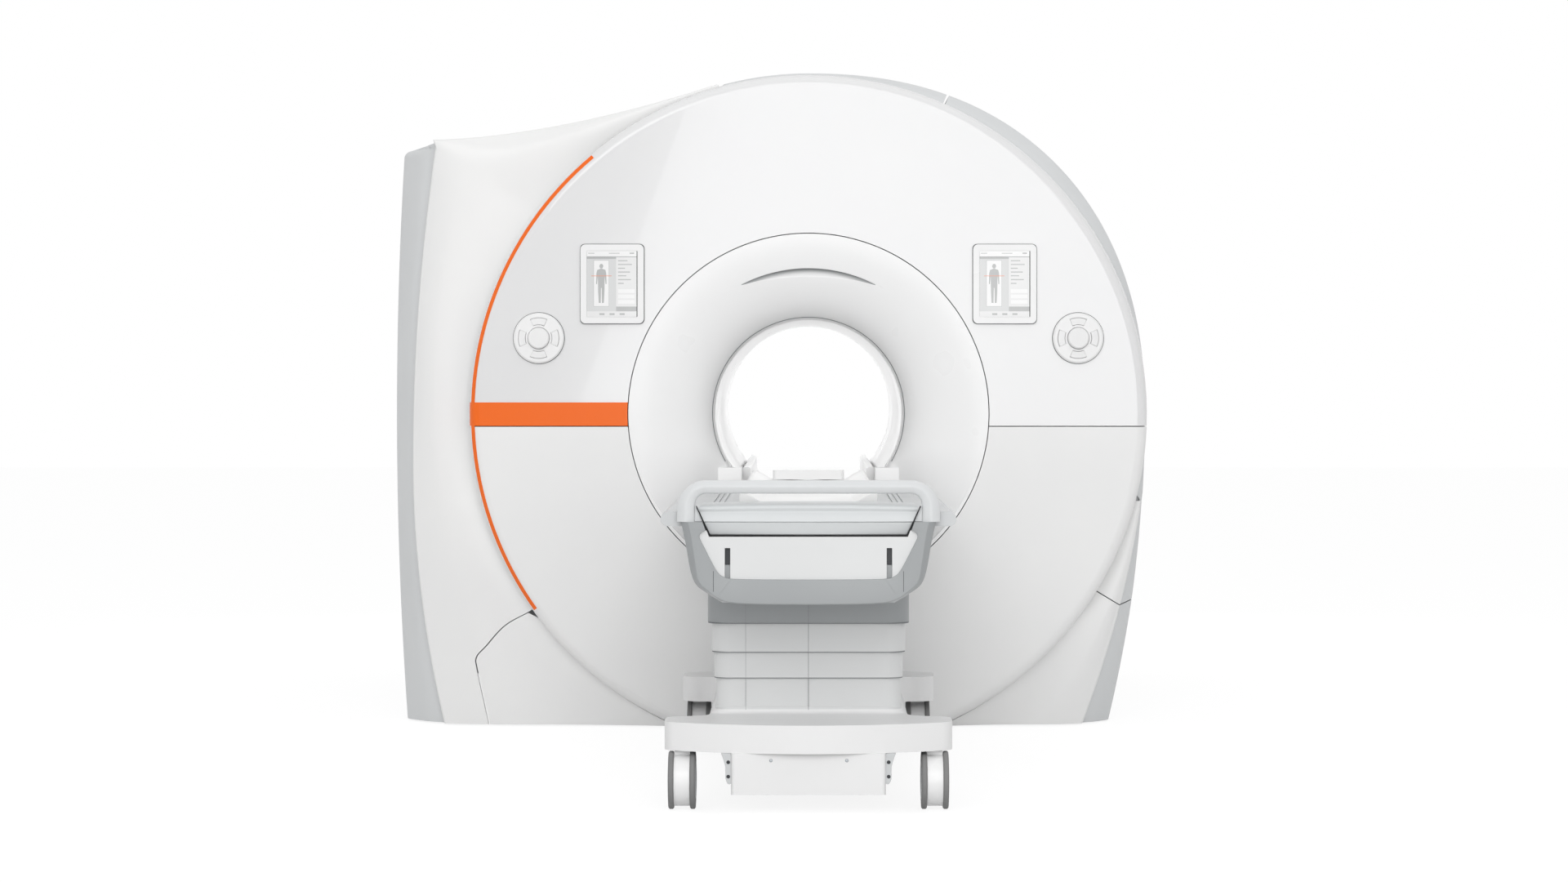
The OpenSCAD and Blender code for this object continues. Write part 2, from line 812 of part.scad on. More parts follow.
// Welded frame under the base cover, with castor sockets and the sockets for the docking pins
module chassis() {
  low = base_low_z + chassis_lift;
  high = base_top_z - base_wall;
  beam = 50;
  color("dimgray") difference() {
    union() {
      for (x = [-215, 165]) translate([x, castor_front_y - 60, low])
        cube([beam, castor_rear_y - castor_front_y + 120, high - low]);
      for (y = [castor_front_y, castor_rear_y]) intersection() {
        translate([-350, y - bar_half_w, low]) cube([700, 2 * bar_half_w, high - low]);
        translate([0, 0, low]) linear_extrude(far) base_plan(base_wall + 0.5);
      }
      for (y = column_ys) translate([-170, y - 110, low]) cube([340, 220, 12]);
      translate([-130, castor_rear_y, 163]) cube([260, dock_y - 12 - castor_rear_y, high - 163]);
    }
    for (p = castor_places) translate([p.x, p.y, 0]) cylinder(h = far, r = stem_r + 0.06);
    for (x = [-pin_x, pin_x]) translate([x, dock_y, pin_z]) rotate([90, 0, 0])
      translate([0, 0, -1]) cylinder(h = 120, r = pin_r + 0.4);
  }
}

// Low box under the front bumper, held to the frame by a block and to the bumper by two side brackets
module front_box() {
  half_w = 199;
  low_z = 46;
  bracket = 26;
  y0 = castor_front_y - 112;
  color("white") {
    translate([0, y0 + 110, low_z]) linear_extrude(base_low_z - low_z) rounded(2 * half_w, 220, 10);
    translate([-120, castor_front_y - bar_half_w, low_z])
      cube([240, 2 * bar_half_w, base_low_z + chassis_lift - low_z]);
    mirrored() translate([half_w, y0 + 30, 0]) rotate([90, 0, 0]) translate([0, 0, -20]) linear_extrude(20)
      intersection() {
        translate([0, base_low_z]) circle(bracket);
        square([bracket, base_low_z]);
      }
  }
}

// Castor housing with its stem; the wheels' axle lies behind the stem by the trail
module castor_housing(place) {
  axle_z = wheel_d / 2;
  width = wheel_pair_w - 2 * tyre_w - 1;
  color("white") translate([place.x, place.y, 0]) {
    difference() {
      union() {
        translate([0, -castor_trail, axle_z]) rotate([0, 90, 0]) cylinder(h = width, r = 67, center = true);
        translate([-width / 2, -32, axle_z]) cube([width, 64, wheel_d - axle_z + 1]);
      }
      translate([0, -castor_trail, axle_z]) rotate([0, 90, 0])
        cylinder(h = far, r = axle_r + 0.05, center = true);
    }
    translate([0, 0, wheel_d]) cylinder(h = stem_top_z - wheel_d, r = stem_r);
    translate([0, 0, wheel_d]) cylinder(h = 4.5, r = 20);
  }
}

module castor_wheels(place) {
  axle_z = wheel_d / 2;
  color("gray") translate([place.x, place.y - castor_trail, axle_z]) rotate([0, 90, 0]) {
    cylinder(h = wheel_pair_w - 2, r = axle_r, center = true);
    for (m = [0, 1]) mirror([0, 0, m]) translate([0, 0, wheel_pair_w / 2 - tyre_w]) {
      translate([0, 0, 3]) cylinder(h = tyre_w - 6, r = wheel_d / 2);
      cylinder(h = 3, r1 = wheel_d / 2 - 3, r2 = wheel_d / 2);
      translate([0, 0, tyre_w - 3]) cylinder(h = 3, r1 = wheel_d / 2, r2 = wheel_d / 2 - 3);
    }
  }
}

// Telescopic shroud, seen from above; stage 0 is the outermost
module shroud_plan(stage, grow) {
  half_w = stage_half_w[stage] + grow;
  inset = stage_half_w[0] - half_w;
  l = shroud_rear_y - shroud_front_y - 2 * inset;
  translate([0, (shroud_rear_y + shroud_front_y) / 2]) rounded(2 * half_w, l, 60 - inset);
}

module shroud_stage(stage, z0, z1) {
  translate([0, 0, z0]) linear_extrude(z1 - z0) difference() {
    shroud_plan(stage, 0);
    shroud_plan(stage, -stage_wall);
  }
}

module shroud_base() {
  color("white") {
    shroud_stage(3, base_top_z - 5, 345);
    translate([0, 0, base_top_z]) linear_extrude(19) difference() {
      shroud_plan(3, 3);
      shroud_plan(3, -1);
    }
  }
}

module shroud_low() {
  color("white") shroud_stage(2, 322, 420);
}

module shroud_mid() {
  color("white") shroud_stage(1, 391, 500);
}

module shroud_top() {
  color("darkgray") shroud_stage(0, 468, 576);
}

// Two square columns side by side along the trolley
module column_tubes(w, wall, z0, z1) {
  for (y = column_ys) translate([0, y, z0]) linear_extrude(z1 - z0) difference() {
    square(w, center = true);
    square(w - 2 * wall, center = true);
  }
}

module lift_column_outer() {
  top_z = trough_floor_z - column_plate - lift_travel - 8;
  color("silver") column_tubes(column_w, 6, base_low_z + 15, top_z);
}

module lift_column_inner() {
  color("silver") {
    column_tubes(column_w - 14, 5, 400, trough_floor_z - column_plate);
    for (y = column_ys) translate([-130, y - 100, trough_floor_z - column_plate])
      cube([260, 200, column_plate]);
  }
}

// Table

// Half outline of the trough and end frame, from the bottom middle up to the top of the side
function frame_half(inset) = [
  [0, frame_low_z + inset], [225 - inset, frame_low_z + inset], [253 - inset, 555 + inset / 2],
  [290 - inset, 593], [300 - inset, 624], [315 - inset, 696], [frame_half_w - inset, frame_top_z]
];

module frame_outline(inset, top_z) {
  half = frame_half(inset);
  side = concat(half, [[frame_half_w - inset, top_z]]);
  polygon(concat(side, reversed([for (p = side) [-p.x, p.y]])));
}

// Long tub that carries the tabletop, open below round the shroud
module table_trough() {
  wall = 5;
  length = trough_head_y - trough_foot_y;
  channel_half_w = table_half_w + 8;
  color("lightgray") difference() {
    union() {
      along_y(trough_foot_y, length) frame_outline(4, deck_z);
      // Side flanges with round edges
      mirrored() along_y(trough_foot_y, length) {
        translate([frame_half_w - 10, deck_z - 38]) square([44, 38]);
        translate([frame_half_w + 34, deck_z - 19]) circle(19);
      }
    }
    along_y(trough_foot_y + wall, length - 2 * wall) intersection() {
      frame_outline(4 + wall, trough_floor_z);
      translate([-far / 2, 0]) square([far, trough_floor_z]);
    }
    along_y(trough_foot_y + wall, length) translate([-channel_half_w, trough_floor_z + wall])
      square([2 * channel_half_w, 100]);
    // Lightening of the two decks beside the channel
    mirrored() along_y(trough_foot_y + wall, length - 2 * wall)
      translate([channel_half_w + wall, trough_floor_z + wall])
        square([frame_half_w - channel_half_w - 4 * wall, deck_z - trough_floor_z - 2 * wall]);
    // Accessory slots along both decks
    mirrored() for (x = [229, 244, 258]) along_y(trough_foot_y + 150, length - 300)
      translate([x - 3, deck_z - 4]) square([6, 10]);
    translate([0, 0, frame_low_z - 1]) linear_extrude(40) shroud_plan(0, 0.5);
  }
  // Two rails on the floor of the channel, which carry the tabletop
  color("silver") mirrored() along_y(trough_foot_y + wall, length - 2 * wall)
    translate([98, trough_floor_z + wall]) square([40, table_low_z - running_gap - trough_floor_z - wall]);
}

// Grey end frame: a U in three lengths
module end_frame() {
  depth = trough_foot_y - frame_foot_y;
  seam_x = 243;
  color("darkgray") difference() {
    along_y(frame_foot_y, depth) frame_outline(0, frame_top_z);
    along_y(frame_foot_y - 1, depth + 2) panel_outline(0.5);
    along_y(frame_foot_y - 1, depth + 2) foot_outline(3.5);
    mirrored() translate([seam_x - 0.7, frame_foot_y - 1, 500]) cube([1.4, 8, 104]);
  }
}

// White panel inside the end frame, with a slot near each side
module panel_outline(grow) {
  low = 601 - grow;
  half = [
    [0, low], [212, low], [236 + grow, 622], [276 + grow, 700], [281 + grow, 712], [279 + grow, 721],
    [273, 726.5 + grow], [266, 728 + grow], [260.5 + grow, 728 + grow], [254, 712], [0, 712]
  ];
  polygon(concat(half, reversed([for (p = half) [-p.x, p.y]])));
}

module end_panel() {
  slot_x = 207;
  slot_w = 14;
  depth = 30;
  y = frame_foot_y + 8;
  color("white") difference() {
    along_y(y, depth) panel_outline(0);
    for (x = [-slot_x, slot_x]) translate([x - slot_w / 2, y - 1, 604]) cube([slot_w, 15, 79]);
  }
}

// Foot end of the table seen from the end, with room around it
module foot_outline(grow) {
  half = [
    [0, foot_low_z - grow], [foot_low_half_w + grow, foot_low_z - grow],
    [foot_top_half_w + grow, foot_top_z - 8], [foot_top_half_w - 8, foot_top_z], [0, foot_top_z]
  ];
  polygon(concat(half, reversed([for (p = half) [-p.x, p.y]])));
}

// Cover of the foot end: seen from the side a round nose, a face below it and a set-back lower face
module foot_end_cover() {
  length = 235;
  nose_r = 12;
  step_z = 748;
  y = frame_foot_y + 4;
  side = [
    [length, foot_top_z], [nose_r, foot_top_z], [0, foot_top_z - nose_r], [5, step_z + 2], [11, step_z - 2],
    [22, foot_low_z], [trough_foot_y - y, foot_low_z], [trough_foot_y - y, deck_z], [length, deck_z]
  ];
  color("lightgray") intersection() {
    along_y(y, length) foot_outline(0);
    translate([-far / 2, y, 0]) rotate([90, 0, 90]) linear_extrude(far) {
      polygon(side);
      translate([nose_r, foot_top_z - nose_r]) circle(nose_r);
    }
  }
}

// Push handle: a moulded bow standing on the end frame
module push_handle() {
  depth = 40;
  y = (frame_foot_y + trough_foot_y - depth) / 2;
  color("darkgray") along_y(y, depth) intersection() {
    translate([0, frame_top_z]) difference() {
      rounded(2 * handle_half_w, 2 * handle_h, 75);
      rounded(2 * (handle_half_w - handle_leg_w), 2 * (handle_h - handle_d), 28);
    }
    translate([-far / 2, frame_top_z]) square(far);
  }
}

// Tabletop: long board with raised edges
module tabletop() {
  rise = 29;
  half = [
    [0, table_low_z], [146, table_low_z], [table_half_w, table_z - 12], [table_half_w, table_z + rise - 5],
    [table_half_w - 6, table_z + rise], [table_half_w - 16, table_z + rise],
    [118, table_z + 2], [0, table_z - 2]
  ];
  color("whitesmoke") along_y(foot_y, table_l)
    polygon(concat(half, reversed([for (p = half) if (p.x > 0) [-p.x, p.y]])));
}

// White block that closes the head end of the lying surface
module head_block() {
  color("white") translate([0, head_y - 50, table_z + 2]) linear_extrude(30) rounded(226, 84, 12);
}

front_upper_cover();
front_lower_cover();
front_funnel();
table_throat();
shoulder_blocks();
bore_liner();
bore_rails();
orange_accent();
left_side_cover();
left_access_cover();
left_side_panel();
top_cover();
right_side_panel();
right_lower_cover();
right_access_cover();
right_foot_panel();
rear_cover();
displays();
screens();
control_ring(-1);  // control_ring_left
control_ring(1);  // control_ring_right
knob(-1);  // knob_left
knob(1);  // knob_right
button(-1, 90);  // button_left_up
button(-1, 180);  // button_left_out
button(-1, 270);  // button_left_down
button(-1, 0);  // button_left_in
button(1, 90);  // button_right_up
button(1, 0);  // button_right_out
button(1, 270);  // button_right_down
button(1, 180);  // button_right_in
cryostat();
magnet_windings();
gradient_coil();
magnet_base();
docking_station();
chassis();
base_cover();
front_box();
castor_housing(castor_places[0]);  // castor_front_left
castor_housing(castor_places[1]);  // castor_front_right
castor_housing(castor_places[2]);  // castor_rear_left
castor_housing(castor_places[3]);  // castor_rear_right
castor_wheels(castor_places[0]);  // wheels_front_left
castor_wheels(castor_places[1]);  // wheels_front_right
castor_wheels(castor_places[2]);  // wheels_rear_left
castor_wheels(castor_places[3]);  // wheels_rear_right
lift_column_outer();
lift_column_inner();
shroud_base();
shroud_low();
shroud_mid();
shroud_top();
table_trough();
end_frame();
end_panel();
foot_end_cover();
push_handle();
tabletop();
head_block();
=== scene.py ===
"""Looks of a whole-body MRI scanner with a docked patient trolley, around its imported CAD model.

Everything is in metres in the model's own frame: +X to the right seen from the table end,
+Y into the bore, +Z up, origin on the floor below the isocentre.
"""
import math

import bmesh
import bpy
import numpy as np
from mathutils import Matrix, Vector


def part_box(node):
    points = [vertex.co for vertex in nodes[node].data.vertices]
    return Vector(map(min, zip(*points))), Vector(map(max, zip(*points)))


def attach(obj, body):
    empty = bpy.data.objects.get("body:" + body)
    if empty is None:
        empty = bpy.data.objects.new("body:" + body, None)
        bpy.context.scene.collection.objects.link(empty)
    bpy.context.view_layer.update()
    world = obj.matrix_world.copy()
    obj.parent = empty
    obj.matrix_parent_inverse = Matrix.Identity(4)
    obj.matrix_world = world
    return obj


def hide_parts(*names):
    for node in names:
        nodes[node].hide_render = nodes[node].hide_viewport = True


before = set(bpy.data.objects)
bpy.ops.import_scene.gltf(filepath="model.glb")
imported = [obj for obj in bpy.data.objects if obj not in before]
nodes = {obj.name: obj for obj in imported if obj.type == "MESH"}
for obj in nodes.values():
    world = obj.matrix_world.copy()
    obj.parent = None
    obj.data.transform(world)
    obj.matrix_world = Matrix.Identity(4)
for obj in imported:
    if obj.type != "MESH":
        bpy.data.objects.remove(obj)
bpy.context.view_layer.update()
scene = bpy.context.scene

MM = 0.001
AXIS_Z = 1.0
FRONT_Y = -1.065
FUNNEL_R = 0.572
BORE_R = 0.300


# Materials


def linear(colour):
    """Linear RGBA of an sRGB hex colour."""
    channels = [int(colour[i : i + 2], 16) / 255 for i in (1, 3, 5)]
    return [c / 12.92 if c <= 0.04045 else ((c + 0.055) / 1.055) ** 2.4 for c in channels] + [1.0]


def add_node(tree, kind, inputs=None, **settings):
    """Adds a node. An input given as a socket is linked, any other value is set."""
    node = tree.nodes.new(kind)
    for key, value in settings.items():
        setattr(node, key, value)
    for key, value in (inputs or {}).items():
        if isinstance(value, bpy.types.NodeSocket):
            tree.links.new(value, node.inputs[key])
        else:
            node.inputs[key].default_value = value
    return node


def new_material(name):
    """An empty node material and its tree."""
    material = bpy.data.materials.new(name)
    material.use_nodes = True
    material.node_tree.nodes.clear()
    return material, material.node_tree


# Sockets of a colour Mix node
MIX_BY, MIX_A, MIX_B, MIXED = 0, 6, 7, 2

# Width of the slow drift of tone that polishing and cleaning leave
DRIFT_MM = 300


def moulded(name, colour, soiled, roughness, grain_mm, relief_mm, **gloss):
    """A moulded or sprayed shell: surface relief of a given grain, and a slow drift of tone and sheen."""
    material, tree = new_material(name)
    place = add_node(tree, "ShaderNodeTexCoord").outputs["Object"]
    grain = add_node(tree, "ShaderNodeTexNoise", {"Vector": place, "Scale": 1000 / grain_mm, "Detail": 2.0})
    drift = add_node(tree, "ShaderNodeTexNoise", {"Vector": place, "Scale": 1000 / DRIFT_MM, "Detail": 3.0})
    tone = add_node(tree, "ShaderNodeMix", {
        MIX_A: linear(colour), MIX_B: linear(soiled), MIX_BY: drift.outputs["Fac"]}, data_type="RGBA")
    sheen = add_node(tree, "ShaderNodeMapRange", {
        "Value": drift.outputs["Fac"], "From Min": 0.3, "From Max": 0.7,
        "To Min": roughness * 0.9, "To Max": roughness * 1.1})
    relief = add_node(tree, "ShaderNodeBump", {
        "Height": grain.outputs["Fac"], "Distance": relief_mm * MM, "Strength": 0.6})
    shell = add_node(tree, "ShaderNodeBsdfPrincipled", {
        "Base Color": tone.outputs[MIXED], "Roughness": sheen.outputs["Result"],
        "Normal": relief.outputs["Normal"], "IOR": 1.5, **gloss})
    add_node(tree, "ShaderNodeOutputMaterial", {"Surface": shell.outputs["BSDF"]})
    return material


def worn_metal(name, colour, dark, roughness, streak_mm, stretch):
    """A metal with drawn or brushed streaks along one axis and uneven sheen."""
    material, tree = new_material(name)
    place = add_node(tree, "ShaderNodeTexCoord").outputs["Object"]
    along = add_node(tree, "ShaderNodeMapping", {"Vector": place, "Scale": stretch})
    streaks = add_node(tree, "ShaderNodeTexNoise", {
        "Vector": along.outputs["Vector"], "Scale": 1000 / streak_mm, "Detail": 4.0})
    tone = add_node(tree, "ShaderNodeMix", {
        MIX_A: linear(dark), MIX_B: linear(colour), MIX_BY: streaks.outputs["Fac"]}, data_type="RGBA")
    sheen = add_node(tree, "ShaderNodeMapRange", {
        "Value": streaks.outputs["Fac"], "To Min": roughness * 0.7, "To Max": roughness * 1.3})
    metal = add_node(tree, "ShaderNodeBsdfPrincipled", {
        "Base Color": tone.outputs[MIXED], "Roughness": sheen.outputs["Result"], "Metallic": 1.0})
    add_node(tree, "ShaderNodeOutputMaterial", {"Surface": metal.outputs["BSDF"]})
    return material


# Sprayed glass-fibre covers: satin white, with a faint orange peel.
# The peel is drawn at 6 mm, coarser than real, so that it shows
cover_white = moulded("satin_white_sprayed_fibreglass", "#f6f6f5", "#f1f1f1", 0.34, 6.0, 0.03)
# The funnel and the bore: the same paint, smoother under the hand, drawn a little whiter as painted light
funnel_white = moulded("smooth_white_gelcoat_painted_lighter", "#fcfcfc", "#f9f9f9", 0.30, 8.0, 0.02)
# Upper fascia: light grey acrylic lacquer, polished, so that it mirrors the softbox in front of it
fascia_grey = moulded("polished_light_grey_lacquer", "#ececec", "#e9e9ea", 0.1, 40.0, 0.01,
                      **{"Coat Weight": 0.4, "Coat Roughness": 0.012})
# Grey side panels: vacuum-formed ABS with a fine matt grain
panel_grey = moulded("matt_grey_formed_abs", "#e0e2e3", "#dbddde", 0.46, 3.0, 0.04)
# Orange self-adhesive film, glossy and even
orange_film = moulded("glossy_orange_vinyl_film", "#ff7424", "#fc7022", 0.2, 25.0, 0.005,
                      **{"Specular IOR Level": 0.2})
# Housings of displays and controls: moulded ABS, clean edges, soft gloss
control_white = moulded("soft_gloss_white_abs", "#f7f7f7", "#f2f2f2", 0.28, 2.0, 0.02)
# Keys and knob tops, a touch greyer through handling
key_white = moulded("handled_white_abs", "#f5f5f5", "#f0f0f0", 0.36, 2.0, 0.03)
# Trolley skins: structural foam with a satin white coat
trolley_white = moulded("satin_white_structural_foam", "#efefef", "#eaeaea", 0.4, 3.0, 0.05)
# Shroud stages: folded aluminium sheet with a smooth powder coat
shroud_white = moulded("powder_coated_white_sheet", "#e0e1e1", "#dbdcdc", 0.42, 2.5, 0.04)
# End frame and upper stage of the shroud: self-skinning polyurethane, soft mid grey
frame_grey = moulded("mid_grey_integral_foam", "#a1a4a5", "#9b9ea0", 0.44, 2.0, 0.06)
# Foot end of the table: the same foam in lighter grey
foot_grey = moulded("light_grey_integral_foam", "#d5d8d9", "#d0d3d4", 0.36, 2.0, 0.04)
# Push handle: light grey polyurethane grip, smooth
handle_grey = moulded("light_grey_polyurethane_grip", "#dcdedf", "#d7d9da", 0.38, 2.0, 0.04)
# Trough of the table: painted aluminium extrusion
trough_grey = moulded("painted_grey_extrusion", "#cfd1d2", "#c9cbcc", 0.4, 2.0, 0.03)
# Castor tyres: grey thermoplastic rubber, dull
tyre_grey = moulded("dull_grey_rubber", "#858585", "#7b7b7b", 0.7, 1.5, 0.08)
# Black for the screens, and for strips that paint the shade in shadow gaps
screen_and_gap_shade_black = moulded("black_screen_and_painted_gap_shade", "#1d1e20", "#242527", 0.8, 1.5, 0.1)
# Grey silicone seams of the sheet-metal shroud and covers; the same grey paints shadow lines under stages
seam_and_shadow_line_grey = moulded("grey_silicone_seam_and_painted_shadow_line", "#8d9092", "#85888a", 0.7, 2.0, 0.05)
# Dark grey joints of the end frame, and rings that paint the gap shade round displays and controls
joint_and_gap_shade_grey = moulded("dark_grey_joint_and_painted_gap_shade", "#5a5c5e", "#545658", 0.7, 2.0, 0.05)
# Hub caps: mid-grey soft PVC; the same grey, beside the left cover, paints the shade of the gap there
strip_grey = moulded("mid_grey_pvc_and_painted_gap_shade", "#b5b8b9", "#afb2b3", 0.5, 2.0, 0.04)
# Frames under the magnet and the trolley: black powder-coated steel
frame_black = moulded("black_powder_coated_steel", "#3a3c3f", "#333538", 0.55, 1.2, 0.06)
# Screws and bolts: bright zinc-plated steel
bolt_zinc = worn_metal("zinc_plated_steel", "#c9ccd0", "#8e9296", 0.35, 6.0, (1, 1, 1))
# Lift columns: drawn aluminium, with streaks along the column
column_aluminium = worn_metal("drawn_anodised_aluminium", "#c8cacc", "#a9acb0", 0.4, 4.0, (1, 1, 0.03))
# Vacuum vessel: ground stainless steel
vessel_steel = worn_metal("ground_stainless_steel", "#c5c7ca", "#a4a7ab", 0.38, 5.0, (1, 0.05, 1))
# Windings: lacquered copper, with streaks that run round
winding_copper = worn_metal("lacquered_copper_winding", "#c98a5c", "#8c5634", 0.42, 3.0, (1, 12, 1))
# Gradient coil: cast epoxy, yellowish and slightly mottled
coil_resin = moulded("cast_epoxy_resin", "#cdbf86", "#b7a66a", 0.5, 12.0, 0.2)


def painted_slot_shade(name, deep, pale, far_mm, near_mm):
    """Painted shade of the brow's air slot: grey deep inside, paler toward the open side, with coarse pores.

    The distances from the bore axis say where the tone starts and ends.
    """
    material, tree = new_material(name)
    place = add_node(tree, "ShaderNodeTexCoord").outputs["Object"]
    from_axis = add_node(tree, "ShaderNodeVectorMath", {0: place, 1: (0, 0, AXIS_Z)}, operation="SUBTRACT")
    across = add_node(tree, "ShaderNodeVectorMath", {
        0: from_axis.outputs["Vector"], 1: (1, 0, 1)}, operation="MULTIPLY")
    reach = add_node(tree, "ShaderNodeVectorMath", {0: across.outputs["Vector"]}, operation="LENGTH")
    share = add_node(tree, "ShaderNodeMapRange", {
        "Value": reach.outputs["Value"], "From Min": far_mm * MM, "From Max": near_mm * MM},
        interpolation_type="SMOOTHSTEP")
    tone = add_node(tree, "ShaderNodeMix", {
        MIX_A: linear(deep), MIX_B: linear(pale), MIX_BY: share.outputs["Result"]}, data_type="RGBA")
    pores = add_node(tree, "ShaderNodeTexNoise", {"Vector": place, "Scale": 1000 / 3.0, "Detail": 2.0})
    relief = add_node(tree, "ShaderNodeBump", {
        "Height": pores.outputs["Fac"], "Distance": 0.1 * MM, "Strength": 0.6})
    foam = add_node(tree, "ShaderNodeBsdfPrincipled", {
        "Base Color": tone.outputs[MIXED], "Roughness": 0.8, "Normal": relief.outputs["Normal"]})
    add_node(tree, "ShaderNodeOutputMaterial", {"Surface": foam.outputs["BSDF"]})
    return material


# Air slot above the bore: pale grey, with painted shade, darker at the back under the brow
brow_shade_paint = painted_slot_shade("brow_slot_painted_shade", "#989a9b", "#f2f2f2", 461, 442)


# Mesh making


def add_object(name, data):
    """A new object in the scene."""
    item = bpy.data.objects.new(name, data)
    scene.collection.objects.link(item)
    return item


def xyz(x, y, z):
    """Points from three rows, any of which may be one value for all."""
    return np.stack(np.broadcast_arrays(x, y, z), 1)


def make_piece(name, vertices, faces, material, body, sharp=40, edge=0.0, replaced=()):
    """A smooth-shaded mesh piece that rides on a body.

    Edges over the sharp angle stay crisp, or are rounded by edge.
    """
    mesh = bpy.data.meshes.new(name)
    mesh.from_pydata([tuple(v) for v in vertices], [], [tuple(f) for f in faces])
    form = bmesh.new()
    form.from_mesh(mesh)
    bmesh.ops.remove_doubles(form, verts=form.verts, dist=1e-6)
    bmesh.ops.recalc_face_normals(form, faces=form.faces)
    form.to_mesh(mesh)
    form.free()
    mesh.shade_smooth()
    mesh.set_sharp_from_angle(angle=math.radians(sharp))
    mesh.materials.append(material)
    piece = add_object(name, mesh)
    if edge:
        round_edges(piece, edge, sharp)
    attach(piece, body)
    if replaced:
        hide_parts(*replaced)
    return piece


def round_edges(piece, width, angle=35, segments=3):
    """Rounds the edges that are sharper than an angle."""
    bevel = piece.modifiers.new("rounded_edges", "BEVEL")
    bevel.width = width
    bevel.segments = segments
    bevel.limit_method = "ANGLE"
    bevel.angle_limit = math.radians(angle)
    bevel.harden_normals = True
    bevel.use_clamp_overlap = True


def ring_faces(rings, sides, closed=True, first=0):
    """Quads between rings of points; closed joins the last side to the first."""
    spans = sides if closed else sides - 1
    return [
        (first + i * sides + j, first + i * sides + (j + 1) % sides,
         first + (i + 1) * sides + (j + 1) % sides, first + (i + 1) * sides + j)
        for i in range(rings - 1) for j in range(spans)
    ]


def loft(name, loops, material, body, caps=True, **options):
    """A closed solid through closed loops of points with the same count."""
    rings, sides = len(loops), len(loops[0])
    faces = ring_faces(rings, sides)
    if caps:
        faces += [tuple(range(sides))[::-1], tuple(range((rings - 1) * sides, rings * sides))]
    return make_piece(name, np.concatenate(loops), faces, material, body, **options)


def smooth_line(points, steps, closed=False):
    """Points on a Catmull-Rom curve through the given ones, a number of steps between each pair."""
    p = np.asarray(points, float)
    count = len(p) if closed else len(p) - 1
    out = []
    for i in range(count):
        if closed:
            a, b, c, d = (p[(i + k) % len(p)] for k in (-1, 0, 1, 2))
        else:
            b, c = p[i], p[i + 1]
            a = p[i - 1] if i else 2 * b - c
            d = p[i + 2] if i + 2 < len(p) else 2 * c - b
        for t in np.arange(steps) / steps:
            out.append(0.5 * (2 * b + (c - a) * t + (2 * a - 5 * b + 4 * c - d) * t**2
                              + (3 * b - a - 3 * c + d) * t**3))
    if not closed:
        out.append(p[-1])
    return np.array(out)


def rounded_line(points, radius, steps=6):
    """Closed outline whose corners are rounded by a radius, or by less where a side is short."""
    p = np.asarray(points, float)
    out = []
    for i in range(len(p)):
        back, here, ahead = p[i - 1], p[i], p[(i + 1) % len(p)]
        u, v = back - here, ahead - here
        cut = min(radius, 0.45 * np.linalg.norm(u), 0.45 * np.linalg.norm(v))
        start, end = here + u / np.linalg.norm(u) * cut, here + v / np.linalg.norm(v) * cut
        for t in np.linspace(0, 1, steps):
            out.append((1 - t) ** 2 * start + 2 * t * (1 - t) * here + t**2 * end)
    return np.array(out)


def plate(name, outline, y_front, y_back, material, body, **options):
    """A flat plate that faces the table end: an outline of x and z in metres, between two places along Y."""
    outline = np.asarray(outline, float)
    loops = [xyz(outline[:, 0], y, outline[:, 1]) for y in (y_front, y_back)]
    return loft(name, loops, material, body, **options)


def box_line(x0, x1, z0, z1, radius, steps=6):
    """Outline of a box with rounded corners."""
    return rounded_line([(x0, z0), (x1, z0), (x1, z1), (x0, z1)], radius, steps)


def upright_line(x, width, z0, z1):
    """Outline of a thin upright joint."""
    return box_line(x - width / 2, x + width / 2, z0, z1, 0.0003, 2)


def turned(name, centre, profile, material, body, start=0, stop=360, count=96, **options):
    """A turned piece about an axis along Y: a closed profile of radius and y, swept through an angle."""
    x, z = centre
    whole = stop - start >= 360
    angles = np.radians(np.linspace(start, stop, count, endpoint=not whole))
    loops = [np.array([(x + r * math.cos(a), y, z + r * math.sin(a)) for r, y in profile]) for a in angles]
    if whole:
        loops.append(loops[0])
    return loft(name, loops, material, body, caps=not whole, **options)


# Outline of the body in millimetres from the bore axis, and the moulded side covers that follow it

AXIS = 1000.0
FRONT = 1000 * FRONT_Y
SKIN = 1080.0
RIGHT_X, RIGHT_BOW, TOP_H, CROWN_POWER = 1086.0, 8800.0, 1096.0, 2 / 2.25
LEFT_X, LEFT_BOW, LEFT_TOP_Z, TOP_CORNER_R = -1341.0, 28000.0, 1851.0, 22.0
SHOULDER_X, CORNER_X, CORNER_H = -286.0, -1205.0, 878.0
FLANGE_TIP_X = SHOULDER_X - 4
# Outer edge of the left white cover
WHITE_EDGE_X, WHITE_EDGE_Z, EDGE_BOW_UP, EDGE_BOW_DOWN = -1270.0, 850.0, 6900.0, 3540.0
# Depths behind the front face
EDGE_D, RIDGE_D, RIM_BACK_D = 118.0, 85.0, 128.0
VALLEY_D, VALLEY_FLOOR_D = 112.0, 30.0
GREY_FRONT_D, SIDE_CORNER_D, BACK_D = 148.0, 300.0, 2040.0
# Share of a white cover's width where its ridge stands
RIDGE_F = 0.62
# How much less the white cover falls back at its top left corner
CORNER_FLAT = 27.0
# Depth over which a grey panel turns from its front edge
PANEL_BEND_D = 60.0
# Heights where the right white cover starts and where covers end above the floor
RIGHT_START_Z, FLOOR_GAP = 720.0, 5.0


def unit(v):
    return v / np.linalg.norm(v)


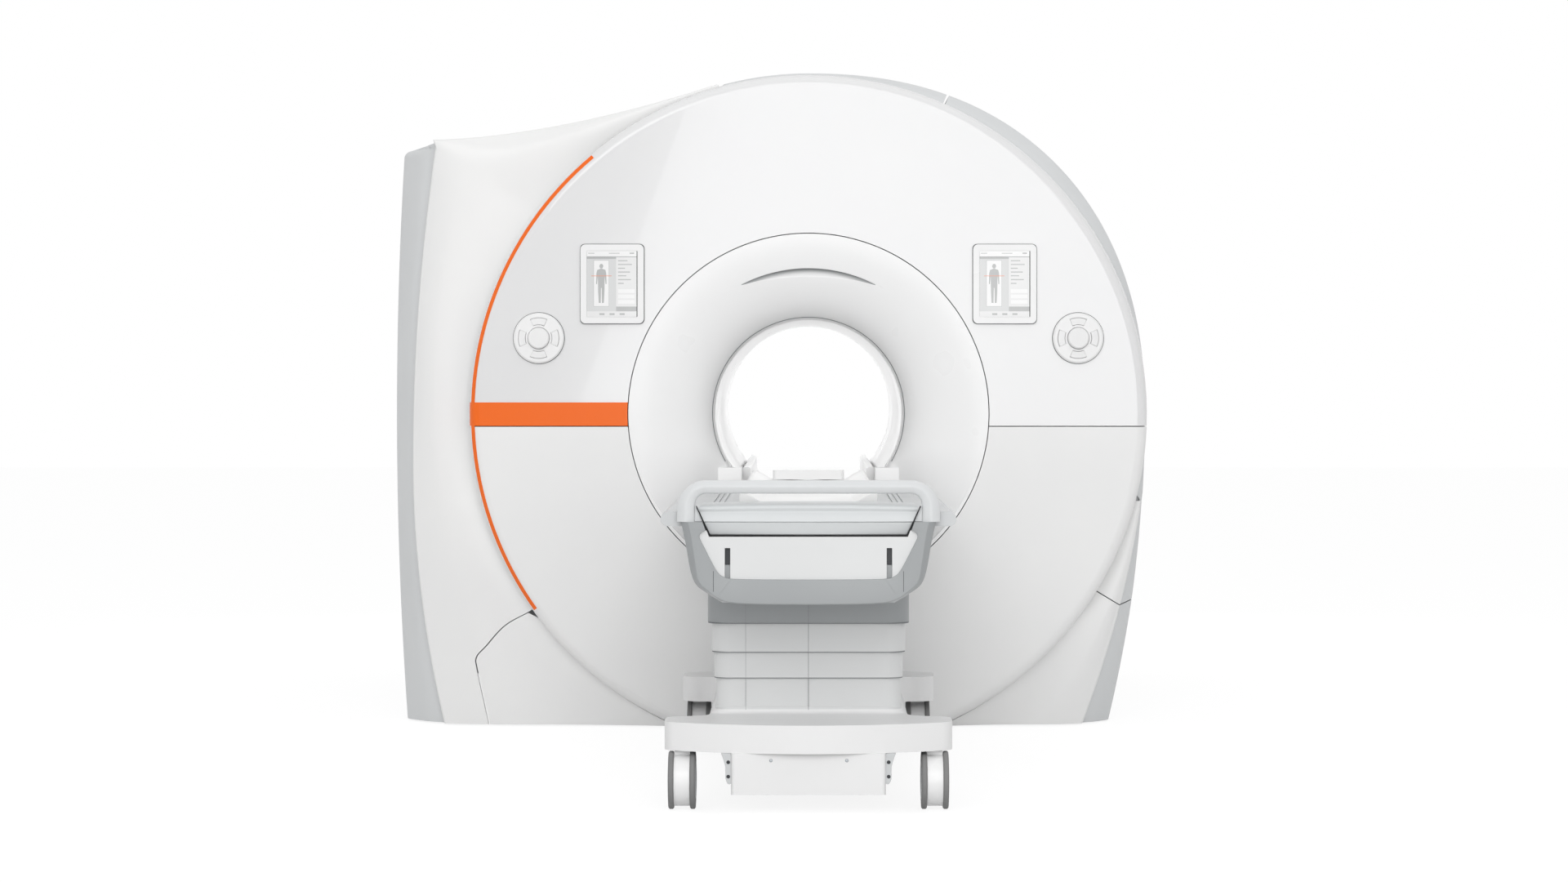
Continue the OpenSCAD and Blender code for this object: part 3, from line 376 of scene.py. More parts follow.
def right_side(z):
    return np.array([RIGHT_X - (AXIS - z) ** 2 / RIGHT_BOW, z - AXIS])


def upper_right(phi):
    a = math.radians(phi)
    return np.array([RIGHT_X * abs(math.cos(a)) ** CROWN_POWER, TOP_H * math.sin(a) ** CROWN_POWER])


def top_left(x):
    return np.array([x, TOP_H * math.sqrt(1 - (x / RIGHT_X) ** 2)])


def shoulder(x):
    share = ((x - CORNER_X) / (SHOULDER_X - CORNER_X)) ** 1.65
    return np.array([x, CORNER_H + (top_left(SHOULDER_X)[1] - CORNER_H) * share])


def left_corner(z):
    """Outer edge of the left panel, rounded off at its top corner."""
    rise = max(0, z - LEFT_TOP_Z + TOP_CORNER_R) / TOP_CORNER_R
    side = LEFT_X + (z - AXIS) ** 2 / LEFT_BOW
    return np.array([side + TOP_CORNER_R * (1 - math.sqrt(1 - rise * rise)), z - AXIS])


def white_edge(z):
    bow = EDGE_BOW_UP if z > WHITE_EDGE_Z else EDGE_BOW_DOWN
    return np.array([WHITE_EDGE_X + (z - WHITE_EDGE_Z) ** 2 / (2 * bow), z - AXIS])


def right_split(z):
    """Line between the right white cover and the grey panel behind it."""
    return right_side(z) - np.array([95 * min(max((950 - z) / 950, 0), 1) ** 1.55, 0])


def rim_at(z):
    return np.array([math.sqrt(SKIN**2 - (z - AXIS) ** 2), z - AXIS])


def skin_loop(start, end, path, wall):
    """Closed section of a moulded skin: a path of way and depth, and the same path set in by the wall."""
    path = np.asarray(path, float)
    ahead = np.gradient(path, axis=0)
    ahead /= np.linalg.norm(ahead, axis=1)[:, None]
    inner = path + wall * np.stack([-ahead[:, 1], ahead[:, 0]], 1)
    both = np.concatenate([path, inner[::-1]])
    way = unit(end - start)
    return xyz(start[0] + way[0] * both[:, 0], FRONT + both[:, 1], AXIS + start[1] + way[1] * both[:, 0]) * MM


def white_depth(f, rim_depth, length, edge_depth):
    """Depth of a white cover from the rim (0) to its outer edge (1); flatter where the cover is narrow."""
    swing = min(1, length / 100)
    inner = RIDGE_D + (rim_depth - RIDGE_D) * swing * (1 - f / RIDGE_F) ** 2
    outer = RIDGE_D + (edge_depth - RIDGE_D) * swing * ((f - RIDGE_F) / (1 - RIDGE_F)) ** 2
    return np.where(f < RIDGE_F, inner, outer)


def white_loop(start, end, f0, f1, rim_depth, back, flattened=0.0):
    """Section of a white cover from share f0 to f1 of its width, with a rolled edge at its outside.

    Its edge falls back less where it is flattened.
    """
    length = np.linalg.norm(end - start)
    last = f1 if f1 < 1 else 1 - min(9 / length, 0.2)
    f = np.linspace(f0, last, 36)
    path = np.stack([f * length, white_depth(f, rim_depth, length, EDGE_D - flattened)], 1)
    if f1 >= 1:
        turn = np.radians(np.linspace(0, 90, 8)[1:])
        x0, d0 = path[-1]
        roll = np.stack([x0 + (length - x0) * np.sin(turn), d0 + (EDGE_D + 12 - d0) * (1 - np.cos(turn))], 1)
        path = np.concatenate([path, roll, [[length, back]]])
    return skin_loop(start, end, path, min(max(0.1 * length, 2), 10))


def grey_loop(start, end, front, depth):
    """Section of a grey panel: a soft shoulder from its front edge to the outline, then straight back."""
    length = np.linalg.norm(end - start)
    bend = smooth_line([(0, 0), (0.4, 0.25), (0.8, 0.66), (0.96, 0.88), (1, 1)], 5)
    path = np.concatenate([bend * (length, depth) + (0, front), [(length, BACK_D)]])
    return skin_loop(start, end, path, min(max(0.4 * length, 3), 9))


def lid_loop(p, depth):
    """Section of the top cover where it tucks under the white cover's rear edge and runs back."""
    k = np.linspace(0, 1, 21)
    path = np.concatenate([np.stack([40 - 8 * (1 - k) ** 2, depth + 120 * k], 1), [(40, BACK_D)]])
    return skin_loop(p - np.array([0, 40]), p, path, 8)


LEFT_TOP_ANGLE = math.degrees(math.atan2(CORNER_H, CORNER_X))
LEFT_FLOOR_ANGLE = 180 + math.degrees(math.asin((AXIS - FLOOR_GAP) / SKIN))


def left_rim(s):
    """Point of the rim beside the left cover, from its top corner (0) to the floor (1)."""
    a = math.radians(LEFT_TOP_ANGLE + (LEFT_FLOOR_ANGLE - LEFT_TOP_ANGLE) * s)
    return SKIN * np.array([math.cos(a), math.sin(a)])


def left_edge(s):
    return white_edge(AXIS + CORNER_H + (FLOOR_GAP - AXIS - CORNER_H) * s)


def left_valley(s):
    return VALLEY_D + (VALLEY_FLOOR_D - VALLEY_D) * s**3


# Seam of the left access cover: way down the rim, and share of the white cover's width
ACCESS_SEAM = smooth_line(
    [(0.693, 0), (0.774, 0.405), (0.846, 0.66), (0.868, 0.728), (0.892, 0.751), (1, 0.803)], 12)
SEAM_HALF = 0.0035


def seam_at(s):
    return np.interp(s, ACCESS_SEAM[:, 0], ACCESS_SEAM[:, 1])


def flange_back(s):
    """Depth of the white flange's rear edge, from its tip (0) to the top left corner (1)."""
    return 190 + 260 * math.sin(math.pi * s) - 20 * s


def corner_flattening(distance, fade):
    return CORNER_FLAT * math.exp(-((distance / fade) ** 2))


def left_panel_loop(z):
    start = white_edge(z) + np.array([6, 0])
    return grey_loop(start, left_corner(z), GREY_FRONT_D, SIDE_CORNER_D - GREY_FRONT_D)


def right_white_loop(rim_z, edge_z):
    p = rim_at(rim_z)
    valley = VALLEY_D + (VALLEY_FLOOR_D - VALLEY_D) * (-p[1] / AXIS) ** 3
    return white_loop(p, right_split(edge_z), 0, 1, valley, GREY_FRONT_D - 2)


def side_covers():
    """The white and grey skins round the magnet, as fine smooth forms of the CAD covers."""
    left = []
    for s in np.linspace(0, 1, 50):
        p = shoulder(FLANGE_TIP_X + (CORNER_X - FLANGE_TIP_X) * s)
        flattened = corner_flattening(1 - s, 0.16)
        left.append(white_loop(SKIN * unit(p), p, 0, 1, VALLEY_D, flange_back(s), flattened))
    for s in np.concatenate([np.linspace(0.012, 0.69, 60), np.linspace(0.694, 1, 70)]):
        first = seam_at(s) + SEAM_HALF if s > ACCESS_SEAM[0, 0] else 0
        left.append(white_loop(left_rim(s), left_edge(s), first, 1, left_valley(s), GREY_FRONT_D - 2,
                               corner_flattening(s, 0.08)))
    left_access = [white_loop(left_rim(s), left_edge(s), 0, seam_at(s) - SEAM_HALF, left_valley(s), 0)
                   for s in np.linspace(0.713, 1, 60)]

    rows = [LEFT_TOP_Z - TOP_CORNER_R * (1 - math.sin(a)) for a in np.radians(np.linspace(90, 10, 9))]
    rows += list(np.linspace(LEFT_TOP_Z - TOP_CORNER_R, FLOOR_GAP, 70))

    corner = left_corner(LEFT_TOP_Z) + np.array([12.5, 9])
    over = [lid_loop(corner, SIDE_CORNER_D + 4),
            lid_loop(np.array([CORNER_X - 14, CORNER_H - 6]), GREY_FRONT_D + 16)]
    over += [lid_loop(shoulder(CORNER_X + (FLANGE_TIP_X - CORNER_X) * s), flange_back(1 - s) + 4)
             for s in np.linspace(0, 1, 40)]
    crown = [top_left(x) for x in np.linspace(SHOULDER_X + 12, -20, 16)]
    crown += [upper_right(a) for a in np.linspace(90, 68.4, 18)]
    over += [grey_loop(SKIN * unit(p), p, RIM_BACK_D, PANEL_BEND_D) for p in crown]

    curve = [upper_right(a) for a in np.linspace(68, 6, 60)]
    right = [grey_loop(SKIN * unit(p), p, RIM_BACK_D, PANEL_BEND_D) for p in curve]
    right += [grey_loop(rim_at(z), right_side(z), RIM_BACK_D, PANEL_BEND_D)
              for z in np.linspace(AXIS, RIGHT_START_Z + 25, 20)]
    share = np.linspace(0, 1, 30)
    right += [grey_loop(right_split(z), right_side(z + 15 * s), GREY_FRONT_D, PANEL_BEND_D)
              for s, z in zip(share, np.linspace(RIGHT_START_Z + 3, 386, 30))]
    foot = [grey_loop(right_split(382 - 377 * s), right_side(397 - 392 * s), GREY_FRONT_D,
                      PANEL_BEND_D + 50 * s) for s in share]
    share = np.linspace(0, 1, 50)
    lower = [right_white_loop(RIGHT_START_Z - 285.5 * s, RIGHT_START_Z - 334.5 * s) for s in share]
    lower_access = [right_white_loop(431.5 - 426.5 * s, 382.5 - 377.5 * s) for s in share]

    for name, loops, material, edge, node in (
            ("white_left_cover", left, cover_white, 0.002, "left_side_cover"),
            ("white_left_access_cover", left_access, cover_white, 0.002, "left_access_cover"),
            ("grey_left_panel", [left_panel_loop(z) for z in rows], panel_grey, 0.002, "left_side_panel"),
            ("grey_top_cover", over, panel_grey, 0.0015, "top_cover"),
            ("grey_right_panel", right, panel_grey, 0.0015, "right_side_panel"),
            ("white_right_cover", lower, cover_white, 0.0015, "right_lower_cover"),
            ("white_right_access_cover", lower_access, cover_white, 0.0015, "right_access_cover"),
            ("grey_right_foot_panel", foot, panel_grey, 0.0015, "right_foot_panel")):
        loft(name, loops, material, "scanner", edge=edge, replaced=[node])


side_covers()


# Funnel round the bore, with its brow and the upright throat for the table's head end

# Radius of the mouth, and how far its flare runs inward and back
MOUTH_R, FLARE_R, FLARE_D = 572.0, 272.0, 200.0
BROW_R, BROW_D, BROW_SLOPE = 463.0, 36.0, math.tan(math.radians(20.7))
# Heights from the axis: start of the upright wall, its crease, and top of the shoulder blocks
WALL_Z, CREASE_Z, BLOCK_Z = -60.0, -125.0, -174.0
# Half width of the throat at its back
THROAT_X = 244.4


def funnel():
    """Trumpet whose lower part runs on as an upright wall, so that the table's head can move up and down."""
    brow_t = math.degrees(math.asin((MOUTH_R - BROW_R) / FLARE_R))
    below_brow = np.linspace(brow_t + 0.02, 33, 40, endpoint=False)
    t = np.radians(np.concatenate([np.linspace(0, brow_t, 18), below_brow, np.linspace(33, 90, 46)]))
    r = MOUTH_R - FLARE_R * np.sin(t)
    depth = FLARE_D * (1 - np.cos(t))
    turn_z = CREASE_Z + (BLOCK_Z - CREASE_Z) * np.clip((np.degrees(t) - 50) / 25, 0, 1) ** 2
    soft = 10.0
    points, faces = [], []

    def add(rings, closed=False):
        faces.extend(ring_faces(len(rings), len(rings[0]), closed, first=sum(map(len, points))))
        points.extend(rings)

    flare = []
    for radius, d, crease in zip(r, depth, turn_z):
        start = math.degrees(math.asin(WALL_Z / radius))
        angle = np.radians(np.linspace(90, start, 70))
        brow = np.full_like(angle, -99)
        if radius < BROW_R - 0.01:
            brow = BROW_D - (BROW_R - radius * np.sin(angle)) * BROW_SLOPE - d
        arc = xyz(radius * np.cos(angle), d + np.log1p(np.exp(brow)), radius * np.sin(angle))
        wall_x = math.sqrt(radius**2 - crease**2)
        low = -math.sqrt(max(MOUTH_R**2 - wall_x**2, crease**2))
        z = np.linspace(WALL_Z, low, 40)[1:]
        bend = crease + soft * np.log1p(np.exp(np.clip((z - crease) / soft, -40, 40)))
        x = np.minimum(np.sqrt(radius**2 - bend**2), np.sqrt(np.maximum(MOUTH_R**2 - z**2, 0)))
        half = np.concatenate([arc, xyz(x, d, z)])
        flare.append(np.concatenate([(half * (-1, 1, 1))[:0:-1], half]))
    add([flare[0] + np.array([0, 30, 0])] + flare)
    # Back wall of the throat beside and below the bore
    for side in (1, -1):
        patch = []
        for z in np.linspace(BLOCK_Z, -552, 40):
            inner = math.sqrt(max(BORE_R**2 * 1e6 - z**2, 0))
            patch.append(xyz(side * (inner + (THROAT_X - inner) * np.linspace(0, 1, 8)), FLARE_D, z))
        add(patch)
    # Lower lip of the throat: a narrow band that follows the seam
    band = [(MOUTH_R, 40), (MOUTH_R, 0), (MOUTH_R - 10, 0), (MOUTH_R - 10, FLARE_D + 5)]
    add([np.array([(q * math.cos(a), d, q * math.sin(a)) for q, d in band])
         for a in np.radians(np.linspace(192, 348, 90))])
    # Shoulder blocks that flank the tabletop
    outline = rounded_line([(212.5, 118), (297, 118), (276, FLARE_D), (212.5, FLARE_D)], 5, 5)
    inward = np.array([258.75, 163]) - outline
    inward /= np.linalg.norm(inward, axis=1)[:, None]
    for side in (1, -1):
        rings = [xyz(side * outline[:, 0], outline[:, 1], -540.0)]
        for inset, drop in ((0, 3), (1.2, 0.8), (3, 0)):
            shrunk = outline + inset * inward
            rings.append(xyz(side * shrunk[:, 0], shrunk[:, 1], BLOCK_Z - drop))
        add(rings, closed=True)
        count = sum(map(len, points))
        faces.append(tuple(range(count - len(outline), count)))
    place = np.concatenate(points) * MM + np.array([0, FRONT_Y, AXIS_Z])
    make_piece("bore_funnel", place, faces, funnel_white, "scanner", sharp=38,
               replaced=["front_funnel", "table_throat", "shoulder_blocks"])


funnel()


# CAD solids that stay: their material, and edges rounded as a moulder or a sheet-metal bender would


def dress(material, edge, *names):
    """Gives CAD solids a material and rounded edges."""
    for name in names:
        solid = nodes[name]
        solid.data.materials.clear()
        solid.data.materials.append(material)
        if edge:
            weld = solid.modifiers.new("joined_points", "WELD")
            weld.merge_threshold = 1e-5
            round_edges(solid, edge)
            solid.modifiers.new("even_shading", "WEIGHTED_NORMAL").keep_sharp = True


SIDES = ("left", "right")
CORNERS = ("front_left", "front_right", "rear_left", "rear_right")
KEYS = ("up", "out", "down", "in")

dress(fascia_grey, 0.002, "front_upper_cover")
dress(cover_white, 0.002, "front_lower_cover", "rear_cover")
dress(funnel_white, 0.001, "bore_liner", "bore_rails")
dress(orange_film, 0, "orange_accent")
dress(control_white, 0.003, "displays")
dress(control_white, 0.0015, "control_ring_left", "control_ring_right")
dress(key_white, 0.001, *[f"button_{side}_{key}" for side in SIDES for key in KEYS])
dress(key_white, 0.002, "knob_left", "knob_right")
dress(vessel_steel, 0.004, "cryostat")
dress(winding_copper, 0.002, "magnet_windings")
dress(coil_resin, 0.003, "gradient_coil")
dress(frame_black, 0.003, "magnet_base", "chassis")
dress(panel_grey, 0.006, "docking_station")
dress(trolley_white, 0.007, "base_cover")
dress(trolley_white, 0.004, "front_box")
dress(shroud_white, 0.001, "shroud_base", "shroud_low", "shroud_mid")
dress(frame_grey, 0.0015, "shroud_top")
dress(column_aluminium, 0.002, "lift_column_outer", "lift_column_inner")
dress(trough_grey, 0.003, "table_trough")
dress(shroud_white, 0.003, "end_panel")
dress(cover_white, 0.004, "tabletop")
dress(control_white, 0.005, "head_block")
dress(control_white, 0.005, *[f"castor_{corner}" for corner in CORNERS])
dress(tyre_grey, 0.002, *[f"wheels_{corner}" for corner in CORNERS])
dress(screen_and_gap_shade_black, 0, "screens")


# Foot end of the table: U-shaped frame, padded cover, push handle

# Places along Y in millimetres: front of the end frame, middle of the handle, back of the foot end
FOOT_Y, HANDLE_Y, BACK_Y = -3312.0, -3287.0, -3262.0
# Bends of the handle: centres and radii of its outside and its inside
BEND_X, BEND_OUT_Z, BEND_IN_Z, BEND_OUT_R, BEND_IN_R = 262.0, 781.0, 794.0, 75.0, 28.0
# Height where the frame's arms end and the handle starts
ARM_Z = 750.0


def evenly(points, count):
    """Points at equal steps along a broken line."""
    p = np.asarray(points, float)
    reach = np.concatenate([[0], np.cumsum(np.linalg.norm(np.diff(p, axis=0), axis=1))])
    steps = np.linspace(0, reach[-1], count)
    return np.stack([np.interp(steps, reach, p[:, k]) for k in (0, 1)], 1)


def both_halves(half):
    """A line from the middle to the right, continued from its mirror on the left."""
    return np.concatenate([(half * (-1, 1))[:0:-1], half])


def end_frame():
    """U-shaped frame round the end panel, with a slanted flank whose crease widens up the sides."""
    outside = both_halves(evenly(smooth_line(
        [(0, 537), (120, 538), (200, 542), (235, 552), (262, 568), (288, 589), (302, 624), (315, 696),
         (327, 750)], 12), 90))
    curve = smooth_line(
        [(0, 602.5), (120, 603), (196, 605), (219, 611), (233, 623), (250, 653), (274, 700)], 10)
    inside = both_halves(evenly(
        list(curve) + [(279, 711), (277.5, 719), (272, 725), (262.5, 728), (271, 750)], 90))
    height = np.clip((outside[:, 1] - outside[:, 1].min()) / 90, 0, 1)
    loops = []
    for out, inn, up in zip(outside, inside, height):
        way = unit(inn - out)
        crease = 4 + 15 * up
        flank = [(0, BACK_Y), (0, FOOT_Y + 26), (0.6, FOOT_Y + 22), (crease - 2, FOOT_Y + 1.2),
                 (crease, FOOT_Y), (crease + 2.5, FOOT_Y)]
        lip = [(3, FOOT_Y), (0.8, FOOT_Y + 1), (0, FOOT_Y + 3), (0, BACK_Y)]
        points = [(*(out + way * a), y) for a, y in flank] + [(*(inn - way * a), y) for a, y in lip]
        loops.append(np.array(points)[:, [0, 2, 1]] * MM)
    loft("u_shaped_end_frame", loops, frame_grey, "lift_frame", sharp=28, replaced=["end_frame"])


def push_handle():
    """Bow between the two arms of the frame, with a ridged front."""
    lines = []
    for height, r in ((BEND_OUT_Z, BEND_OUT_R), (BEND_IN_Z, BEND_IN_R)):
        line = [(BEND_X + r, z) for z in np.linspace(ARM_Z, height, 6)]
        turn = np.radians(np.linspace(0, 90, 20)[1:])
        line += [(BEND_X + r * math.cos(a), height + r * math.sin(a)) for a in turn]
        line += [(x, height + r) for x in np.linspace(BEND_X, 0, 12)[1:]]
        lines.append(both_halves(np.array(line[::-1], float)))
    profile = rounded_line([(1, 14), (1, -4), (0.55, -13), (0.08, -19.5), (-0.45, -16.5), (-0.92, -12),
                            (-1, -6), (-1, 14), (-0.8, 19.5), (0.8, 19.5)], 2.0, 3)
    loops = []
    for out, inn in zip(*lines):
        middle, half = (out + inn) / 2, (out - inn) / 2
        cross = middle + profile[:, :1] * half
        loops.append(xyz(cross[:, 0], HANDLE_Y + profile[:, 1], cross[:, 1]) * MM)
    loft("push_handle_bow", loops, handle_grey, "lift_frame", sharp=28, replaced=["push_handle"])


def foot_cover():
    """The padded foot end: a round nose and face above a seam, and a set-back face below it."""
    nose = [(-3292 - 9 * math.sin(a), 786 + 9 * math.cos(a)) for a in np.radians(np.linspace(0, 120, 12))]
    face = smooth_line([nose[-1], (-3298.6, 776), (-3302.5, 768), (-3306.5, 757), (-3308, 751)], 5)[1:]
    upper = [(-3073, 795)] + nose + list(face)
    upper += [(-3306, 749), (-3290, 749), (BACK_Y, 749), (BACK_Y, 775.2), (-3073, 775.2)]
    lower = [(-3290, 748.7), (-3304, 748.7), (-3305, 746.5), (-3299, 718.5), (-3296, 716),
             (BACK_Y, 716), (BACK_Y, 748.7)]
    rising, falling = np.linspace(0, 1, 5)[1:] ** 2, np.linspace(1, 0, 5)[:-1] ** 2
    across = np.concatenate([[-1], -1 + 0.03 * rising, np.linspace(-0.95, 0.95, 30), 1 - 0.03 * falling, [1]])
    for name, profile in (("foot_end_nose", np.array(upper)), ("foot_end_lower_face", np.array(lower))):
        loops = []
        width = np.interp(profile[:, 1], [716, 787, 795], [251, 284, 276])
        for u in across:
            y = np.where(profile[:, 0] < BACK_Y - 1, profile[:, 0] + 11 * u**2, profile[:, 0])
            z = np.where(profile[:, 1] > 780, profile[:, 1] - 4 * u**2, profile[:, 1])
            loops.append(xyz(u * width, y, z) * MM)
        loft(name, loops, foot_grey, "lift_frame", sharp=35, edge=0.0015, replaced=["foot_end_cover"])


def foot_gap_shade():
    """Black strip that paints the gap shade between the foot end and its frame, thicker at the lower corners.
    """
    line = both_halves(evenly([(0, 714.3), (252.5, 714.3), (287, 790)], 90))
    loops = []
    for i, p in enumerate(line):
        ahead = unit(line[min(i + 1, len(line) - 1)] - line[max(i - 1, 0)])
        side = np.array([-ahead[1], ahead[0]])
        half = 0.5 if abs(p[0]) < 183 else 1.0
        section = [(-half, -3303), (half, -3303), (half, -3280), (-half, -3280)]
        loops.append(np.array([(*(p + side * a), y) for a, y in section])[:, [0, 2, 1]] * MM)
    loft("foot_end_painted_gap_shade", loops, screen_and_gap_shade_black, "lift_frame")


def frame_cheeks():
    """Cheeks of the end frame beside the foot end, and the upright joints of its lower corners."""
    outline = [(270.8, 750.5), (290.5, 750.5), (291, 792), (288.8, 792)]
    for side, sign in (("left", -1), ("right", 1)):
        cheek = [(sign * x * MM, z * MM) for x, z in outline]
        plate(f"end_frame_cheek_{side}", cheek, -3.294, -3.268, handle_grey, "lift_frame", edge=0.0008)
        joint = upright_line(sign * 0.243, 0.0014, 0.572, 0.6245)
        plate(f"end_frame_joint_{side}", joint, FOOT_Y * MM - 0.0002, -3.300, joint_and_gap_shade_grey, "lift_frame")


for build in (end_frame, push_handle, foot_cover, foot_gap_shade, frame_cheeks):
    build()


# Displays and controls on the fascia

# Liquid-crystal panels behind glass: pale fields, glossy, with the fine grain of the panel
screen_fields = [
    moulded(f"lcd_{name}", colour, soiled, 0.1, 2.0, 0.0) for name, colour, soiled in (
        ("white_field", "#fafafa", "#f6f6f6"), ("pale_grey_field", "#dedfdf", "#dbdcdc"),
        ("grey_field", "#bfc0c0", "#bbbcbc"), ("soft_white_field", "#efefef", "#ececec"),
        ("orange_line", "#f4915f", "#f08d5b"))]
WHITE, PALE, GREY, SOFT, ORANGE = range(5)

SCREEN_W, DISPLAY_W = 0.1602, 0.201


def screen_shapes():
    """Fields of the display in millimetres from its top left corner: colour, layer and outline."""
    def field(colour, layer, x0, y0, x1, y1):
        return colour, layer, [(x0, y0), (x1, y0), (x1, y1), (x0, y1)]

    shapes = [
        field(WHITE, 0, 0, 0, 158, 19), field(PALE, 0, 0, 20, 93, 192), field(GREY, 1, 0, 20, 93, 26),
        field(GREY, 1, 21.5, 30, 70.5, 177), field(WHITE, 2, 22.5, 31, 69.5, 176),
        field(SOFT, 0, 93, 20, 158, 177), field(GREY, 0, 93, 177, 158, 192),
        field(SOFT, 0, 0, 192, 158, 211), field(ORANGE, 4, 14, 79, 79, 80.5),
    ]
    marks = [(4, 7, 24, 9), (70, 7, 104, 9), (136, 6, 150, 10)]
    marks += [(x, 198, x + 16, 204) for x in (40, 72, 104)]
    lengths = [30, 44, 22, 38, 26, 41, 18]
    marks += [(99, 30 + 12 * i, 99 + length, 33 + 12 * i) for i, length in enumerate(lengths)]
    shapes += [field(GREY, 1, *mark) for mark in marks]
    shapes += [field(WHITE, 1, 99, 122 + 17 * i, 152, 134 + 17 * i) for i in range(3)]
    head = [(46 + 6 * math.cos(a), 49 + 7.5 * math.sin(a)) for a in np.radians(np.arange(0, 360, 15))]
    half = [(3, 57), (13, 61), (15.5, 72), (16.5, 105), (13.5, 106), (11, 80), (10.5, 100), (10, 130),
            (8, 165), (2, 166), (1, 118)]
    figure = [(46 + x, y) for x, y in half] + [(46 - x, y) for x, y in half[::-1]]
    return shapes + [(GREY, 3, head), (GREY, 3, figure)]


def one_of_two(node, side, width):
    """Box of the left or the right solid of a node that holds both."""
    low, high = (np.array(corner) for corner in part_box(node))
    if side == "left":
        high[0] = low[0] + width
    else:
        low[0] = high[0] - width
    return low, high


def screen_picture(side):
    """What one screen shows, as flat faces just in front of its glass."""
    low, high = one_of_two("screens", side, SCREEN_W)
    vertices, faces, slots = [], [], []
    for colour, layer, outline in screen_shapes():
        faces.append(tuple(range(len(vertices), len(vertices) + len(outline))))
        slots.append(colour)
        y = low[1] - (0.1 + 0.05 * layer) * MM
        vertices += [(min(low[0] + x * MM, high[0]), y, max(high[2] - d * MM, low[2])) for x, d in outline]
    mesh = bpy.data.meshes.new(f"display_fields_{side}")
    mesh.from_pydata(vertices, [], faces)
    for material in screen_fields:
        mesh.materials.append(material)
    mesh.polygons.foreach_set("material_index", slots)
    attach(add_object(mesh.name, mesh), "scanner")


def fascia_gap_shades(side):
    """Dark rings that paint the gap shade round the display, the control ring and the knob on one side."""
    front, back = FRONT_Y - 0.0025, FRONT_Y + 0.001
    low, high = one_of_two("displays", side, DISPLAY_W)
    line = box_line(low[0] - 0.002, high[0] + 0.002, low[2] - 0.002, high[2] + 0.002, 0.018, 10)
    plate(f"display_gap_shade_{side}", line, front, back, joint_and_gap_shade_grey, "scanner", edge=0.001)
    low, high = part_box(f"control_ring_{side}")
    centre, radius = ((low[0] + high[0]) / 2, (low[2] + high[2]) / 2), (high[0] - low[0]) / 2
    profile = [(-0.004, front), (0.0008, front), (0.0016, FRONT_Y - 0.0015), (0.0016, back), (-0.004, back)]
    turned(f"control_gap_shade_{side}", centre, [(radius + r, y) for r, y in profile], joint_and_gap_shade_grey, "scanner")
    low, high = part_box(f"knob_{side}")
    radius = (high[0] - low[0]) / 2
    profile = [(-0.004, FRONT_Y - 0.001), (0.004, FRONT_Y - 0.001), (0.004, FRONT_Y), (-0.004, FRONT_Y)]
    turned(f"knob_gap_shade_{side}", centre, [(radius + r, y) for r, y in profile], joint_and_gap_shade_grey, "scanner")


for side in SIDES:
    screen_picture(side)
    fascia_gap_shades(side)


# Seams, strips and fixings


# Shroud stages from the top: node, body, corner radius in plan, width of the painted shadow lip under it
STAGES = (("shroud_top", "lift_frame", 0.060, 0.0045), ("shroud_mid", "mid_shroud", 0.0495, 0.0045),
          ("shroud_low", "low_shroud", 0.043, 0.0018), ("shroud_base", "trolley", 0.0405, 0))


def bore_lip_seam():
    """Thin groove a finger's width outside the bore's edge, above the shoulder blocks."""
    groove = [(0.3094, 0.1468), (0.3086, 0.1462), (0.3074, 0.1512), (0.3082, 0.1518)]
    turned("bore_lip_seam", (0, AXIS_Z), [(r, FRONT_Y + d) for r, d in groove], seam_and_shadow_line_grey, "scanner",
           start=-30, stop=210, count=140)


def left_edge_gap_shade():
    """Grey strip that paints the gap shade between the left white cover and the grey panel beside it."""
    loops = []
    for z in np.linspace(1872, 6, 60):
        x = white_edge(z)[0]
        section = [(x - 2, 146), (x + 13, 146), (x + 13, 158), (x - 2, 158)]
        loops.append(np.array([(px, FRONT + d, z) for px, d in section]) * MM)
    loft("left_edge_gap_shade", loops, strip_grey, "scanner")


def shroud_seams():
    """Joints of the folded sheets on the front of each shroud stage."""
    for node, body, *_ in STAGES:
        low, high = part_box(node)
        for name, x, width in (("middle", 0.0, 0.0012), ("side", -0.1665, 0.0007)):
            joint = upright_line(x, width, low[2] + 0.001, high[2] - 0.001)
            plate(f"{node}_{name}_joint", joint, low[1] - 0.0002, low[1] + 0.001, seam_and_shadow_line_grey, body)


def ring_round(name, node, corner, levels, material, body):
    """A strip round a shroud stage, through levels of outward growth and height."""
    low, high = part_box(node)
    loops = []
    for grow, z in levels:
        line = box_line(low[0] - grow, high[0] + grow, low[1] - grow, high[1] + grow, corner + grow, 10)
        loops.append(xyz(line[:, 0], line[:, 1], z))
    loft(name, loops, material, body, caps=False)


def shroud_edges():
    """Grey lip under each stage, painting its shadow line, and the cove where the lowest one meets the base.
    """
    for node, body, corner, lip in STAGES[:3]:
        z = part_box(node)[0][2]
        levels = [(-0.0005, z), (-0.0005, z - 0.002), (-lip, z - 0.002), (-lip, z), (-0.0005, z)]
        ring_round(f"{node}_painted_shadow_lip", node, corner, levels, seam_and_shadow_line_grey, body)
    node, body, corner, _ = STAGES[3]
    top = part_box("base_cover")[1][2]
    turn = np.radians(np.linspace(0, 90, 8))
    cove = [(0.012 * (1 - math.sin(a)), top + 0.012 * (1 - math.cos(a))) for a in turn]
    ring_round("base_cove", node, corner, cove, trolley_white, body)


